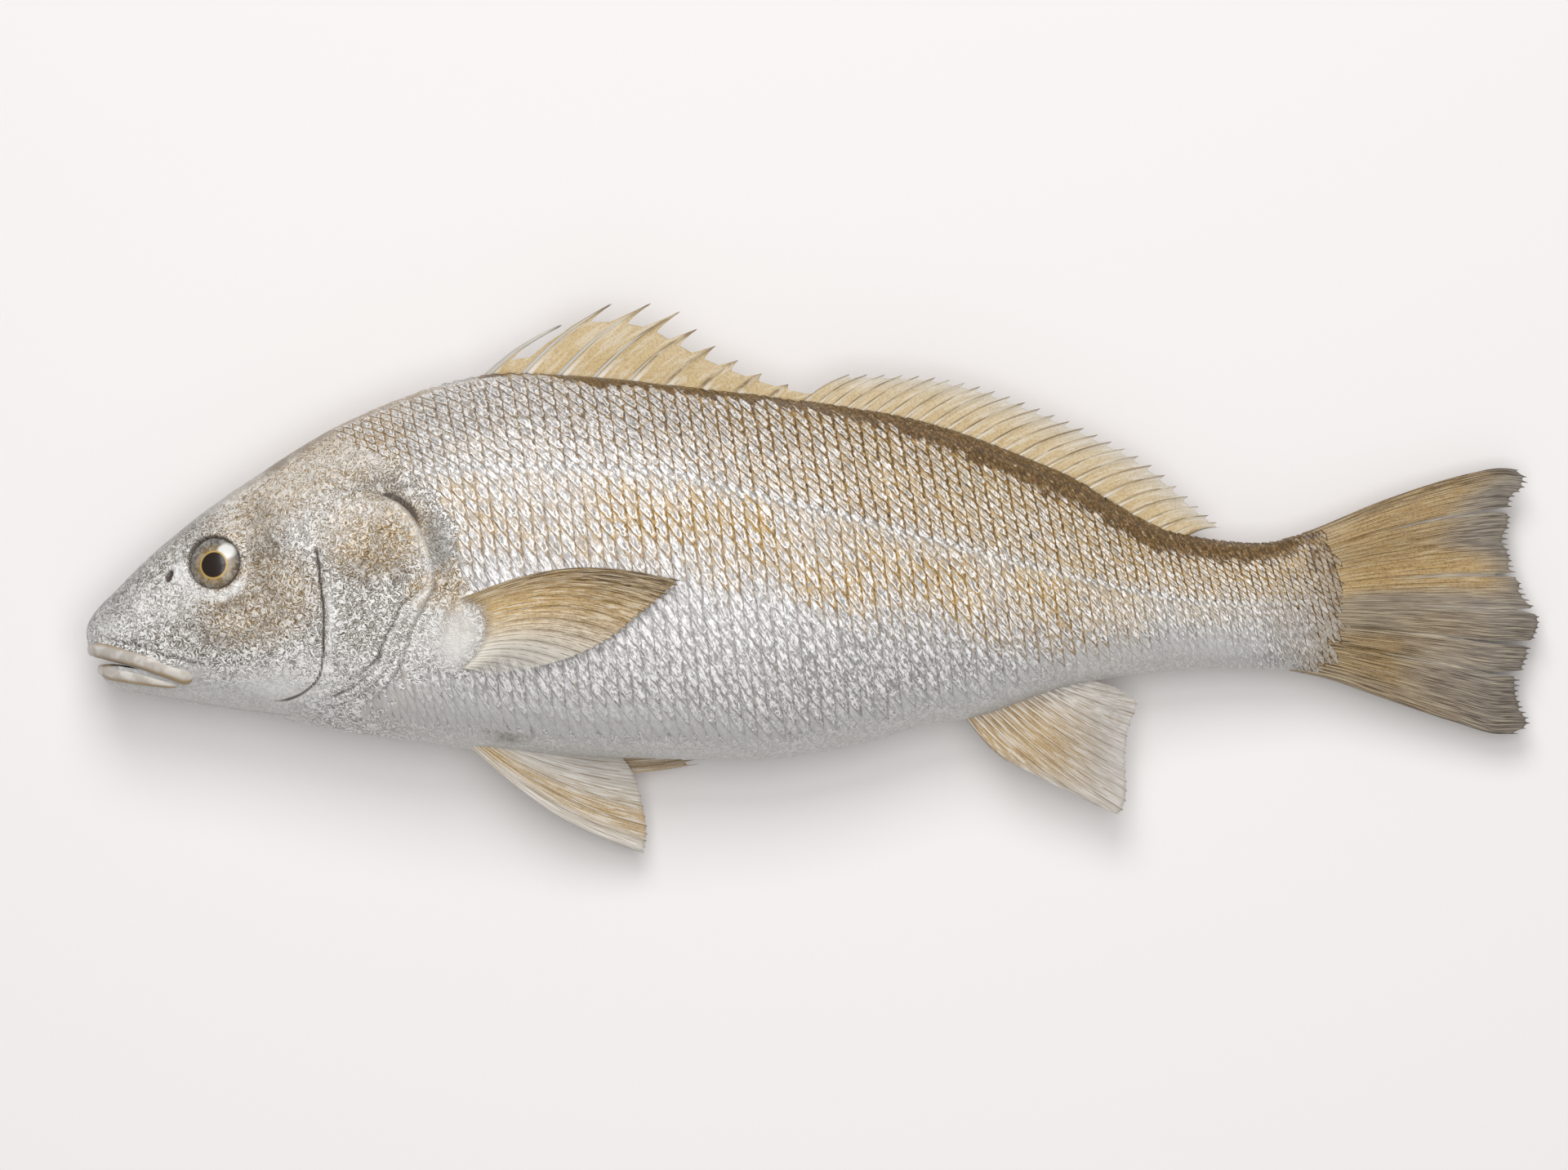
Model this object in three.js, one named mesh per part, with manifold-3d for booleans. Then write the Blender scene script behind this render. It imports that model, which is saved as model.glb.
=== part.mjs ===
// A whole raw croaker lying on its right side, ready for the kitchen: 450 mm from snout to tail.
//
// Millimetres. +X runs from the snout to the tail, +Y from the belly to the back, +Z up from the table.
// The origin is on the table, under the middle of the fish's box.
//
// The fish is shaped upright and straight first, in its own terms:
//   along   how far behind the snout tip
//   height  up the flank, from the belly (-) to the back (+)
//   side    out of the mid-plane, + on the left side, which lies uppermost
// and lay() then puts each point down on the table.

import * as THREE from "three";
import { ParametricGeometry } from "three/addons/geometries/ParametricGeometry.js";
import { mergeVertices } from "three/addons/utils/BufferGeometryUtils.js";
import Module from "manifold-3d";

const wasm = await Module();
wasm.setup();

const { lerp, clamp, smoothstep, degToRad } = THREE.MathUtils;

// ---- driving sizes ----

const totalLength = 450;
const fleshLength = 400; // snout to the rounded end of the scaly tail base
const tailRounding = 15; // the scaly tail base rounds off over this length
const midPlaneHeight = 26.6; // less than half the fish's thickness, so the flank underneath is pressed flat
const tailDroop = 15; // how far the mid-plane sinks towards the table at the tail's margin
const droopStart = 175;

const gap = 0.3; // between the eyeballs and their sockets
const weld = 1e-3; // vertices closer than this are one
const finRoot = 1.5; // the fins on the back start this deep in the flesh
const sides = { left: 1, right: -1 };

// ---- outlines, as [along, height or half width] ----

const back = through([
  [0, -16.9], [1.8, -11.7], [8.6, -4.3], [18.7, 5.8], [49, 29.3], [79, 47.6], [100, 56.6], [113, 61],
  [129, 63.5], [150, 62.7], [200, 57.6], [251, 50.4], [301, 33.1], [337, 14.4], [362, 11.1], [382, 16.0],
  [400, 23.4],
], Math.sqrt);
const belly = through([
  [0, -16.9], [0.4, -20], [1.8, -23.6], [3.8, -28.6], [6.5, -32.4], [18.7, -36.7], [49, -41.6], [89, -49],
  [120, -53], [175, -55.8], [205, -56.3], [241, -51], [258, -45.6], [272, -43.6], [309, -32.2], [352, -28],
  [377, -29.6], [400, -36.8],
], Math.sqrt);
const halfWidth = through([
  [0, 0], [1, 3.6], [4.5, 7.6], [18.7, 13.6], [49, 20.4], [90, 26.8], [130, 29.2], [175, 28.2], [225, 24.6],
  [276, 18.4], [326, 12.2], [362, 8.4], [384, 5.2], [400, 2.6],
], Math.sqrt);

// The tail fin's outline above and below, and how far back its rays reach, from the lower lobe (0) to the
// upper (1).
const tailTop = through([
  [360, 10.2], [372, 12.4], [382, 16.2], [402, 24.4], [428, 32.4], [438, 34.1], [450, 32.2],
]);
const tailBottom = through([
  [360, -27.4], [372, -28.8], [382, -30.8], [402, -37.5], [423, -44.5], [438, -48.4], [450, -48.2],
]);
const tailMargin = through([
  [0, 443.5], [0.04, 447], [0.15, 443.4], [0.3, 446.6], [0.44, 450], [0.55, 445], [0.72, 440.4],
  [0.88, 441.8], [0.97, 446.6], [1, 443.5],
]);

// ---- helpers ----

// A smooth curve through points, as a function: cubic pieces whose slopes never overshoot. warp stretches
// the first coordinate, and Math.sqrt makes the start blunt and round.
function through(points, warp = (x) => x) {
  const xs = points.map(([x]) => warp(x));
  const ys = points.map(([, y]) => y);
  const last = xs.length - 1;
  const secants = xs.slice(1).map((x, i) => (ys[i + 1] - ys[i]) / (x - xs[i]));
  const slopes = xs.map((_, i) => {
    if (i === 0) return secants[0];
    if (i === last) return secants[last - 1];
    const [before, after] = [secants[i - 1], secants[i]];
    return before * after <= 0 ? 0 : (2 * before * after) / (before + after);
  });
  return (at) => {
    const x = clamp(warp(Math.max(at, 0)), xs[0], xs[last]);
    const i = Math.min(xs.findIndex((_, k) => k === last - 1 || x <= xs[k + 1]), last - 1);
    const span = xs[i + 1] - xs[i];
    const t = (x - xs[i]) / span;
    return (
      ys[i] * (1 + 2 * t) * (1 - t) ** 2 + slopes[i] * span * t * (1 - t) ** 2 +
      ys[i + 1] * t * t * (3 - 2 * t) + slopes[i + 1] * span * t * t * (t - 1)
    );
  };
}

const signedPower = (x, power) => Math.sign(x) * Math.abs(x) ** power;

// The flesh at one place along: the middle and half of its height, and its half width.
function section(along) {
  const past = clamp((along - fleshLength + tailRounding) / tailRounding, 0, 1);
  const rounding = Math.sqrt(1 - past * past);
  const [top, bottom] = [back(along), belly(along)];
  return {
    middle: (top + bottom) / 2,
    half: ((top - bottom) / 2) * rounding,
    width: halfWidth(along) * rounding,
  };
}

// Exponents of the section's superellipse: the back is a plain oval, and the breast is fuller.
const backFullness = 2;
function bellyFullness(along) {
  return lerp(2.5, 2.05, smoothstep(along, 150, 260));
}

// Side of the flank's surface at a place along and a height.
function flank(along, height) {
  const { middle, half, width } = section(along);
  const up = clamp((height - middle) / half, -1, 1);
  const fullness = up > 0 ? backFullness : bellyFullness(along);
  return width * Math.sqrt(Math.max(1 - Math.abs(up) ** fullness, 0));
}

// Lays a point of the upright fish on the table: the mid-plane droops towards the tail, and nothing sinks
// in.
function lay(along, height, side, target = new THREE.Vector3()) {
  const behind = Math.max(along - droopStart, 0) / (totalLength - droopStart);
  const z = midPlaneHeight - tailDroop * behind ** 2 + side;
  return target.set(along - totalLength / 2, height, Math.max(z, 0));
}

// A closed surface as a solid: its seams are welded and its collapsed triangles dropped.
function solid(geometry) {
  const bare = new THREE.BufferGeometry();
  bare.setAttribute("position", geometry.getAttribute("position"));
  if (geometry.index) bare.setIndex(geometry.index);
  const welded = mergeVertices(bare, weld);
  const index = welded.index.array;
  const kept = [];
  for (let i = 0; i < index.length; i += 3) {
    const [a, b, c] = index.slice(i, i + 3);
    if (a !== b && b !== c && c !== a) kept.push(a, b, c);
  }
  const vertProperties = welded.attributes.position.array;
  const made = (triVerts) => new wasm.Manifold(new wasm.Mesh({ numProp: 3, vertProperties, triVerts }));
  const first = made(new Uint32Array(kept));
  return first.volume() > 0 ? first : made(new Uint32Array(kept).reverse());
}

function geometryOf(manifold) {
  const mesh = manifold.getMesh();
  const geometry = new THREE.BufferGeometry();
  geometry.setAttribute("position", new THREE.BufferAttribute(mesh.vertProperties, 3));
  geometry.setIndex(new THREE.BufferAttribute(mesh.triVerts, 1));
  geometry.computeVertexNormals();
  return geometry;
}

// ---- flesh: a loft of superelliptic sections, closer together at both ends ----

function flesh() {
  const around = 30;
  const stations = 56;
  const crowding = 0.88; // of the sections towards both ends
  return solid(
    new ParametricGeometry(
      (u, v, target) => {
        const along = fleshLength * lerp(v, (1 - Math.cos(Math.PI * v)) / 2, crowding);
        const { middle, half, width } = section(along);
        const angle = (u % 1) * 2 * Math.PI;
        const [up, out] = [Math.cos(angle), Math.sin(angle)];
        const fullness = up > 0 ? backFullness : bellyFullness(along);
        lay(along, middle + half * signedPower(up, 2 / fullness), width * out, target);
      },
      around,
      stations,
    ),
  );
}

// ---- fins: thin closed plates between a root and a margin ----

// point(across, out) gives [along, height, side] and thickness(across, out) the whole thickness, which is
// nothing at both ends across.
function plate(point, thickness, columns, rows) {
  const last = 2 * rows + 2;
  return solid(
    new ParametricGeometry(
      (u, v, target) => {
        const row = Math.round(v * last) % last;
        const out = Math.min(row, 2 * rows + 1 - row) / rows;
        const half = u === 0 || u === 1 ? 0 : thickness(u, out) / 2;
        lay(...point(u, out), target);
        target.z = Math.max(target.z, half) + (row <= rows ? half : -half);
      },
      columns,
      last,
    ),
  );
}

// A fin's margin where the rays' tips stand proud of the web: 1 at each tip, and up to depth lower between.
function scalloped(place, rays, depth) {
  const squareness = 1.4;
  const onRay = place * (rays - 1);
  const between = onRay - Math.floor(onRay + 1e-9); // the tiny addition takes up rounding at the last ray
  return 1 - depth * Math.min(1, 4 * between * (1 - between) * squareness);
}

const spinyFin = {
  first: 122.9, // along, at the root of the first spine
  spacing: 10.9,
  lengths: [28.8, 36, 37.4, 34.8, 27.6, 21, 16, 11.4, 8, 6],
  lean: through([[0, 33.5], [1, 37.5], [3, 36.5], [5, 35.5], [9, 30]]), // degrees over the back
  web: 0.3, // share of a spine's length that stands clear of the web
  tear: 0.3, // the web behind the first spine is cut this much deeper
  arch: 0.05, // the spines bow upwards by this share of their length
  webThickness: [2.4, 0.7], // at the root and at the margin
  spineRadius: [1.2, 0.7], // of the first spine and of the last
  spineTip: 0.32, // share of a spine's radius that is left at its tip
};

function spineAt(index) {
  const { first, spacing, lengths, arch } = spinyFin;
  const lean = degToRad(spinyFin.lean(index));
  const whole = Math.min(Math.floor(index), lengths.length - 2);
  const length = lerp(lengths[whole], lengths[whole + 1], index - whole);
  const root = first + spacing * index;
  return (out) => {
    const bow = arch * length * Math.sin(Math.PI * out);
    return [
      root + length * out * Math.cos(lean) - bow * Math.sin(lean),
      back(root) - finRoot + (length + finRoot) * out * Math.sin(lean) + bow * Math.cos(lean),
      0,
    ];
  };
}

function spinyWeb() {
  const { lengths, web, tear, webThickness } = spinyFin;
  const steps = 5;
  return plate(
    (u, out) => {
      const index = u * (lengths.length - 1);
      const torn = tear * clamp(1 - index, 0, 1);
      return spineAt(index)(out * scalloped(u, lengths.length, web + torn));
    },
    (u, out) => lerp(...webThickness, out),
    (lengths.length - 1) * steps,
    3,
  );
}

// A spine is a tapering rod, closed at both ends, that reaches a little past the web.
function spine(index) {
  const { lengths, spineRadius, spineTip } = spinyFin;
  const [sidesAround, steps] = [5, 5];
  const [start, end] = [0.05, 1.05]; // the rod's ends are rounded within this stretch of its steps
  const pastWeb = 1.02;
  const at = spineAt(index);
  const lean = degToRad(spinyFin.lean(index));
  const thick = lerp(...spineRadius, index / (lengths.length - 1));
  return solid(
    new ParametricGeometry(
      (u, v, target) => {
        const out = clamp(v * (start + end) - start, 0, 1);
        const radius = v === 0 || v === 1 ? 0 : thick * lerp(1, spineTip, out);
        const [along, height, side] = at(out * pastWeb);
        const angle = (u % 1) * 2 * Math.PI;
        lay(
          along + radius * Math.cos(angle) * Math.sin(lean),
          height - radius * Math.cos(angle) * Math.cos(lean),
          side + radius * Math.sin(angle),
          target,
        );
      },
      sidesAround,
      steps,
    ),
  );
}

const softFin = {
  first: 220.4,
  last: 339.4,
  rays: 28,
  length: through([[0, 17.4], [0.2, 22.6], [0.5, 23.2], [0.75, 21.6], [0.93, 16.5], [1, 12.4]]),
  lean: through([[0, 27], [0.2, 27], [0.5, 20], [0.75, 15], [1, 8]]), // degrees over the X axis
  notch: 0.13,
  thickness: [2.6, 0.8], // at the root and at the margin
};

function softDorsal() {
  const { first, last, rays, length, lean, notch, thickness } = softFin;
  return plate(
    (u, out) => {
      const root = lerp(first, last, u);
      const reach = length(u) * out * scalloped(u, rays, notch);
      const angle = degToRad(lean(u));
      const height = back(root) - finRoot * (1 - out) + reach * Math.sin(angle);
      return [root + reach * Math.cos(angle), height, 0];
    },
    (u, out) => lerp(...thickness, out),
    (rays - 1) * 2,
    2,
  );
}

const tail = {
  rays: 18,
  rootAt: 364,
  notch: 3, // mm between the rays' tips
  thickness: [9, 0.9], // at the root and at the margin
  edge: 0.03, // the plate thins out over this share of its breadth at both edges
};

function tailFin() {
  const { rays, rootAt, notch, thickness, edge } = tail;
  return plate(
    (u, out) => {
      const along = lerp(rootAt, tailMargin(u) - notch + notch * scalloped(u, rays, 1), out);
      return [along, lerp(tailBottom(along), tailTop(along), u), 0];
    },
    (u, out) => {
      const thinning = Math.sqrt(Math.sin(Math.PI * clamp(u, edge, 1 - edge)));
      return lerp(...thickness, Math.sqrt(out)) * thinning;
    },
    (rays - 1) * 2,
    4,
  );
}

// A fin whose rays fan out from a short root. roots and tips are [along, height, side], spread evenly over
// the fin, and the rays in front bow by up to bow.
function fan({ roots, tips, rays, notch, bow, rootThickness, tipThickness }, rows = 4) {
  const spread = (list) => {
    const places = list.map((_, i) => i / (list.length - 1));
    const parts = [0, 1, 2].map((axis) => through(places.map((place, i) => [place, list[i][axis]])));
    return (u) => parts.map((part) => part(u));
  };
  const [root, tip] = [spread(roots), spread(tips)];
  return plate(
    (u, out) => {
      const [a, b] = [root(u), tip(u)];
      const share = out * scalloped(u, rays, notch);
      const rise = bow * (1 - u) * Math.sin(Math.PI * share);
      return a.map((start, axis) => lerp(start, b[axis], share) + (axis === 1 ? rise : 0));
    },
    (u, out) => lerp(rootThickness, tipThickness, out),
    (rays - 1) * 2,
    rows,
  );
}

const analFin = {
  roots: [[271, -42.5, 0], [290, -37, 0], [309.5, -31, 0]],
  tips: [
    [290, -59.6, -3], [319, -73.2, -4.5], [321.8, -66, -4], [321.4, -57, -3.5], [321.8, -49, -3],
    [324.8, -39, -2], [318, -33.6, -1],
  ],
  rays: 11, notch: 0.06, bow: -2.5, rootThickness: 2.6, tipThickness: 0.8,
};

const leftPelvicFin = {
  roots: [[116, -49.5, 6], [121, -47.6, 8.5], [126, -46, 10.5]],
  tips: [
    [172.1, -85.3, -15.5], [173.2, -79, -14], [171.8, -69.5, -11], [168, -58.5, -7], [161, -52.2, -2.5],
    [150, -50.4, 4],
  ],
  rays: 9, notch: 0.05, bow: -5.4, rootThickness: 2.6, tipThickness: 0.9,
};

const rightPelvicFin = {
  roots: [[116.5, -47.5, -7], [121, -46.6, -8.5], [126, -46, -10]],
  tips: [
    [189.6, -57.6, -15], [186, -55, -16.5], [180, -51, -18.5], [170, -48, -20],
  ],
  rays: 7, notch: 0.05, bow: -7.4, rootThickness: 2.6, tipThickness: 0.9,
};

// The pectoral fin folds back along the flank and stands a little clear of it.
const pectoralFin = {
  roots: [[111, -8.5], [118.5, -10], [121.5, -17], [119.5, -23.5], [116.5, -27.6]],
  tips: [
    [184.7, -1], [178.5, -6.4], [171.4, -11.9], [163, -18.6], [151, -24.4], [139, -27.6], [125, -29.6],
  ],
  rays: 15, notch: 0.06, bow: 7.6, rootThickness: 2.4, tipThickness: 0.9,
  rooted: -0.6, // of the roots over the flank
  lift: { left: 3.2, right: 0.3 }, // of the tips over the flank
};

function pectoral(name) {
  const { roots, tips, rooted, lift } = pectoralFin;
  const onFlank = (over) => ([along, height]) => {
    return [along, height, sides[name] * (flank(along, height) + over)];
  };
  return fan({ ...pectoralFin, roots: roots.map(onFlank(rooted)), tips: tips.map(onFlank(lift[name])) });
}

// The fleshy base that the pectoral fin's rays grow from.
const pectoralBase = { at: [115.5, -17.5], radii: [8, 12.5, 3.2], turn: -14, sunk: 1.3 };

function fleshyBase(name) {
  const { at: [along, height], radii, turn, sunk } = pectoralBase;
  const lobe = new THREE.SphereGeometry(1, 12, 8);
  lobe.scale(...radii).rotateZ(degToRad(turn));
  return placed(lobe, along, height, sides[name] * (flank(along, height) - sunk), radii[2]);
}

// Puts a small shape, modelled about its own middle, on the lying fish, and no lower than low.
function placed(geometry, along, height, side, low) {
  const at = lay(along, height, side);
  return solid(geometry.translate(at.x, at.y, Math.max(at.z, low)));
}

// ---- head ----

// The gill cover is a plate on the cheek, as [along, height, lift] round its edge: it dips into the flesh
// along its front, which leaves a groove behind the cheek, and stands proud along its free rear edge.
const gillCover = {
  middle: [90, -6, 1.3],
  edge: [
    [109, -2, 1.9], [107.6, 5, 1.9], [104.8, 12.5, 1.9], [100.6, 20.4, 1.8], [94, 25.6, 1.2], [85, 26, -0.4],
    [77, 18, -1.2], [73.5, 8, -1.4], [73, -6, -1.4], [73.5, -20, -1.4], [71, -30, -1.4], [63, -38, -0.6],
    [72, -40.6, 1], [80, -37.8, 1.4], [88, -33.8, 1.6], [96.6, -26.4, 1.8], [103.4, -16, 1.9],
    [107.8, -7.6, 1.9],
  ],
  depth: 3,
};

function gill(name) {
  const { middle, edge, depth } = gillCover;
  const rim = [0, 1, 2].map((axis) => through([...edge, edge[0]].map((point, i) => [i, point[axis]])));
  const rings = 3;
  const last = 2 * rings + 1;
  return solid(
    new ParametricGeometry(
      (u, v, target) => {
        const place = (u % 1) * edge.length;
        const ring = Math.round(v * last);
        const out = Math.min(ring, last - ring) / rings;
        const [along, height] = [0, 1].map((axis) => lerp(middle[axis], rim[axis](place), out));
        const lift = lerp(middle[2], rim[2](place), out * out);
        const over = ring <= rings ? lift : -depth;
        lay(along, height, sides[name] * (flank(along, height) + over), target);
      },
      edge.length * 2,
      last,
    ),
  );
}

// A fleshy lip is a bead from cheek to cheek round the front of a jaw, as [along, height, radius] from the
// front.
const upperLip = [
  [1.9, -20.9, 1.6], [6, -21.9, 2.7], [11, -22.9, 2.9], [17.4, -25, 2.9], [23.7, -27.6, 3], [30, -29.5, 3.1],
  [36, -30, 3.1],
];
const lowerLip = [
  [5.4, -29.2, 1.6], [9.8, -28.9, 2.3], [16.1, -29.8, 2.4], [21.2, -31.6, 2.2], [27, -34, 1.6],
];
const lipSunk = 0.55; // share of a lip's radius that is sunk into the jaw
const lipEnd = 0.06; // share of a lip's half length over which it rounds off

function lip(course) {
  const [, height, radius] = [0, 1, 2].map((axis) => through(course.map((at) => [at[0], at[axis]])));
  const [front, rear] = [course[0][0], course[course.length - 1][0]];
  const at = (place) => {
    const along = lerp(front, rear, place * place);
    const sideways = Math.sign(place) * Math.max(flank(along, height(along)) - radius(along) * lipSunk, 0);
    const acrossFront = Math.min(Math.abs(place) * 4, 1); // the front quarter runs across the snout
    return new THREE.Vector3(along, height(along), sideways * acrossFront);
  };
  const up = new THREE.Vector3(0, 1, 0);
  const step = 0.01;
  return solid(
    new ParametricGeometry(
      (u, v, target) => {
        const place = 2 * v - 1;
        const tangent = at(place + step).sub(at(place - step)).normalize();
        const across = new THREE.Vector3().crossVectors(tangent, up).normalize();
        const rise = new THREE.Vector3().crossVectors(across, tangent);
        const centre = at(place);
        const pastEnd = Math.max(Math.abs(place) - (1 - lipEnd), 0) / lipEnd;
        const size = radius(centre.x) * Math.sqrt(Math.max(1 - pastEnd * pastEnd, 0));
        const angle = (u % 1) * 2 * Math.PI;
        centre.addScaledVector(across, size * Math.cos(angle)).addScaledVector(rise, size * Math.sin(angle));
        lay(centre.x, centre.y, centre.z, target);
      },
      8,
      30,
    ),
  );
}

// The open front of the mouth, a wedge that narrows towards its corner, right through from side to side.
function mouthGap() {
  const wedge = new THREE.Shape([
    new THREE.Vector2(-2, -21.5), new THREE.Vector2(4, -23.6), new THREE.Vector2(11, -25.2),
    new THREE.Vector2(22, -29.2), new THREE.Vector2(11, -27), new THREE.Vector2(5, -28.4),
    new THREE.Vector2(-2, -30),
  ]);
  const reach = 40;
  const cut = new THREE.ExtrudeGeometry(wedge, { depth: 2 * reach, bevelEnabled: false });
  return solid(cut.translate(-totalLength / 2, 0, midPlaneHeight - reach));
}

// Each eyeball is a lens that looks out square to the cheek, and its socket is the same lens a gap larger.
const eye = { at: [40.2, 4.7], radius: 8.8, halfDepth: 4.9, sunk: 2.6 };

function lens(name, margin) {
  const [along, height] = eye.at;
  const step = 1;
  const alongSlope = (flank(along + step, height) - flank(along - step, height)) / (2 * step);
  const upSlope = (flank(along, height + step) - flank(along, height - step)) / (2 * step);
  const outward = new THREE.Vector3(-alongSlope, -upSlope, sides[name]).normalize();
  const shape = new THREE.SphereGeometry(1, 24, 10).rotateX(Math.PI / 2);
  shape.scale(eye.radius + margin, eye.radius + margin, eye.halfDepth + margin);
  shape.applyQuaternion(new THREE.Quaternion().setFromUnitVectors(new THREE.Vector3(0, 0, 1), outward));
  const at = lay(along, height, sides[name] * flank(along, height)).addScaledVector(outward, -eye.sunk);
  return solid(shape.translate(at.x, at.y, at.z));
}

// A nostril is a shallow pit in front of the eye.
const nostrilPit = { at: [26, 0.8], radii: [0.9, 1.7, 1.6], turn: -20 };

function nostril(name) {
  const { at: [along, height], radii, turn } = nostrilPit;
  const pit = new THREE.SphereGeometry(1, 8, 6).scale(...radii).rotateZ(degToRad(turn));
  return placed(pit, along, height, sides[name] * flank(along, height), 2 * radii[2]);
}

// ---- the fish ----

const skin = new THREE.MeshStandardMaterial({
  name: "skin", color: 0xb9b3a6, roughness: 0.38, metalness: 0.35,
});
const eyeball = new THREE.MeshStandardMaterial({
  name: "eye", color: 0x3a302b, roughness: 0.08, metalness: 0,
});

const spines = spinyFin.lengths.map((_, index) => spine(index));
const grown = [
  flesh(), spinyWeb(), ...spines, softDorsal(), tailFin(),
  fan(analFin), fan(leftPelvicFin), fan(rightPelvicFin),
];
for (const name of Object.keys(sides)) grown.push(gill(name), fleshyBase(name), pectoral(name));
let fish = wasm.Manifold.union(grown).subtract(mouthGap());
fish = wasm.Manifold.union([fish, lip(upperLip), lip(lowerLip)]);

const group = new THREE.Group();
for (const name of Object.keys(sides)) {
  fish = fish.subtract(lens(name, gap)).subtract(nostril(name));
  const mesh = new THREE.Mesh(geometryOf(lens(name, 0)), eyeball);
  mesh.name = `eye_${name}`;
  group.add(mesh);
}
const body = new THREE.Mesh(geometryOf(fish), skin);
body.name = "fish";
group.add(body);

export default group;
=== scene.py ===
from functools import partial, reduce

import bmesh
import bpy
import numpy as np
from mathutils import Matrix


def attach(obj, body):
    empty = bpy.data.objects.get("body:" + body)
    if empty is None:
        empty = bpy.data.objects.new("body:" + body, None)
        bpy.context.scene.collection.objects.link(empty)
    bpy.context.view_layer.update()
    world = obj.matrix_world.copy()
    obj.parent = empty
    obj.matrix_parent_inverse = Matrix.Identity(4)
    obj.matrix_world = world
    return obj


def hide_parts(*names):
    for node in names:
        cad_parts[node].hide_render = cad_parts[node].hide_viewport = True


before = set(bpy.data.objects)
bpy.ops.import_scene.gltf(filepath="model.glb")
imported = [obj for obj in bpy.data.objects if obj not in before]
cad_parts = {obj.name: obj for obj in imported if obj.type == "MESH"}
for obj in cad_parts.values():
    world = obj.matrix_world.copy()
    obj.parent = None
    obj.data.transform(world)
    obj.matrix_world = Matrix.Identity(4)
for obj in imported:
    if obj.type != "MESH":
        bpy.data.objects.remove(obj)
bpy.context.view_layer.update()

# A whole croaker lying on its right side. As in its solids it is worked out upright and straight first, in
# millimetres: along is how far behind the snout tip, height is up towards the back, and side is out of the
# mid-plane, + on the left flank. lay() then puts the points down on the table.

mm = 0.001
pi = np.pi
fish = dict(
    totalLength=450, fleshLength=400, tailRounding=15,
    midPlaneHeight=26.6,  # less than half the thickness, so the flank underneath is pressed flat
    tailDroop=15, droopStart=175,
)


def through(points, warp=None):
    # cubic pieces through the points; each slope is the harmonic mean of the two secants, so none overshoots
    x, y = np.array(points, float).T
    x = x if warp is None else warp(x)
    secant = np.diff(y) / np.diff(x)
    before, after = secant[:-1], secant[1:]
    total = np.where(before + after == 0, 1, before + after)
    inner = np.where(before * after > 0, 2 * before * after / total, 0)
    slope = np.concatenate([secant[:1], inner, secant[-1:]])

    def curve(at):
        at = np.maximum(np.asarray(at, float), 0)
        at = np.clip(at if warp is None else warp(at), x[0], x[-1])
        i = np.clip(np.searchsorted(x, at) - 1, 0, len(x) - 2)
        span = x[i + 1] - x[i]
        t = (at - x[i]) / span
        ends = y[i] * (1 + 2 * t) * (1 - t) ** 2 + y[i + 1] * t * t * (3 - 2 * t)
        return ends + slope[i] * span * t * (1 - t) ** 2 + slope[i + 1] * span * t * t * (t - 1)

    return curve


def smooth(value, low, high):
    # 0 at low and 1 at high, with a smooth S between; high may lie below low
    share = np.clip((value - low) / (high - low), 0, 1)
    return share * share * (3 - 2 * share)


def lerp(start, end, share):
    return start + (end - start) * share


def bell(value, middle, width, power=2):
    # 1 at the middle, dying out to both sides: e ^ -((value - middle) / width) ^ power
    return np.exp(-(((value - middle) / width) ** power))


def most(*amounts):
    return reduce(np.maximum, amounts)


back = through([
    (0, -16.9), (1.8, -11.7), (8.6, -4.3), (18.7, 5.8), (49, 29.3), (79, 47.6), (100, 56.6), (113, 61),
    (129, 63.5), (150, 62.7), (200, 57.6), (251, 50.4), (301, 33.1), (337, 14.4), (362, 11.1), (382, 16.0),
    (400, 23.4)], np.sqrt)
belly = through([
    (0, -16.9), (0.4, -20), (1.8, -23.6), (3.8, -28.6), (6.5, -32.4), (18.7, -36.7), (49, -41.6), (89, -49),
    (120, -53), (175, -55.8), (205, -56.3), (241, -51), (258, -45.6), (272, -43.6), (309, -32.2), (352, -28),
    (377, -29.6), (400, -36.8)], np.sqrt)
halfWidth = through([
    (0, 0), (1, 3.6), (4.5, 7.6), (18.7, 13.6), (49, 20.4), (90, 26.8), (130, 29.2), (175, 28.2), (225, 24.6),
    (276, 18.4), (326, 12.2), (362, 8.4), (384, 5.2), (400, 2.6)], np.sqrt)
lateral = through([  # height of the lateral line
    (60, 22), (100.7, 32.2), (124.7, 34.6), (175, 33.6), (200, 27.5), (226, 21.5), (276, 8.3), (327, -4.3),
    (352, -7.6), (400, -7)])


def section(along):
    # the middle and half of the flesh's height, and its half width
    past = np.clip((along - fish["fleshLength"] + fish["tailRounding"]) / fish["tailRounding"], 0, 1)
    rounding = np.sqrt(1 - past * past)
    top, bottom = back(along), belly(along)
    return (top + bottom) / 2, (top - bottom) / 2 * rounding, halfWidth(along) * rounding


def bellyFullness(along):
    return lerp(2.5, 2.05, smooth(along, 150, 260))


def flank(along, height):
    # side of the flesh's surface there: width * sqrt(1 - up^fullness)
    middle, half, width = section(along)
    up = np.clip((height - middle) / np.maximum(half, 1e-6), -1, 1)
    fullness = np.where(up > 0, 2, bellyFullness(along))
    return width * np.sqrt(np.maximum(1 - np.abs(up) ** fullness, 0))


def onSection(along, angle):
    # a point of the flesh: a superellipse round the section, from the back (0) by the left flank to the belly
    middle, half, width = section(along)
    up, out = np.cos(angle), np.sin(angle)
    power = 2 / np.where(up > 0, 2, bellyFullness(along))
    height = middle + half * np.sign(up) * np.abs(up) ** power
    return np.stack(np.broadcast_arrays(along, height, width * out), -1)


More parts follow.
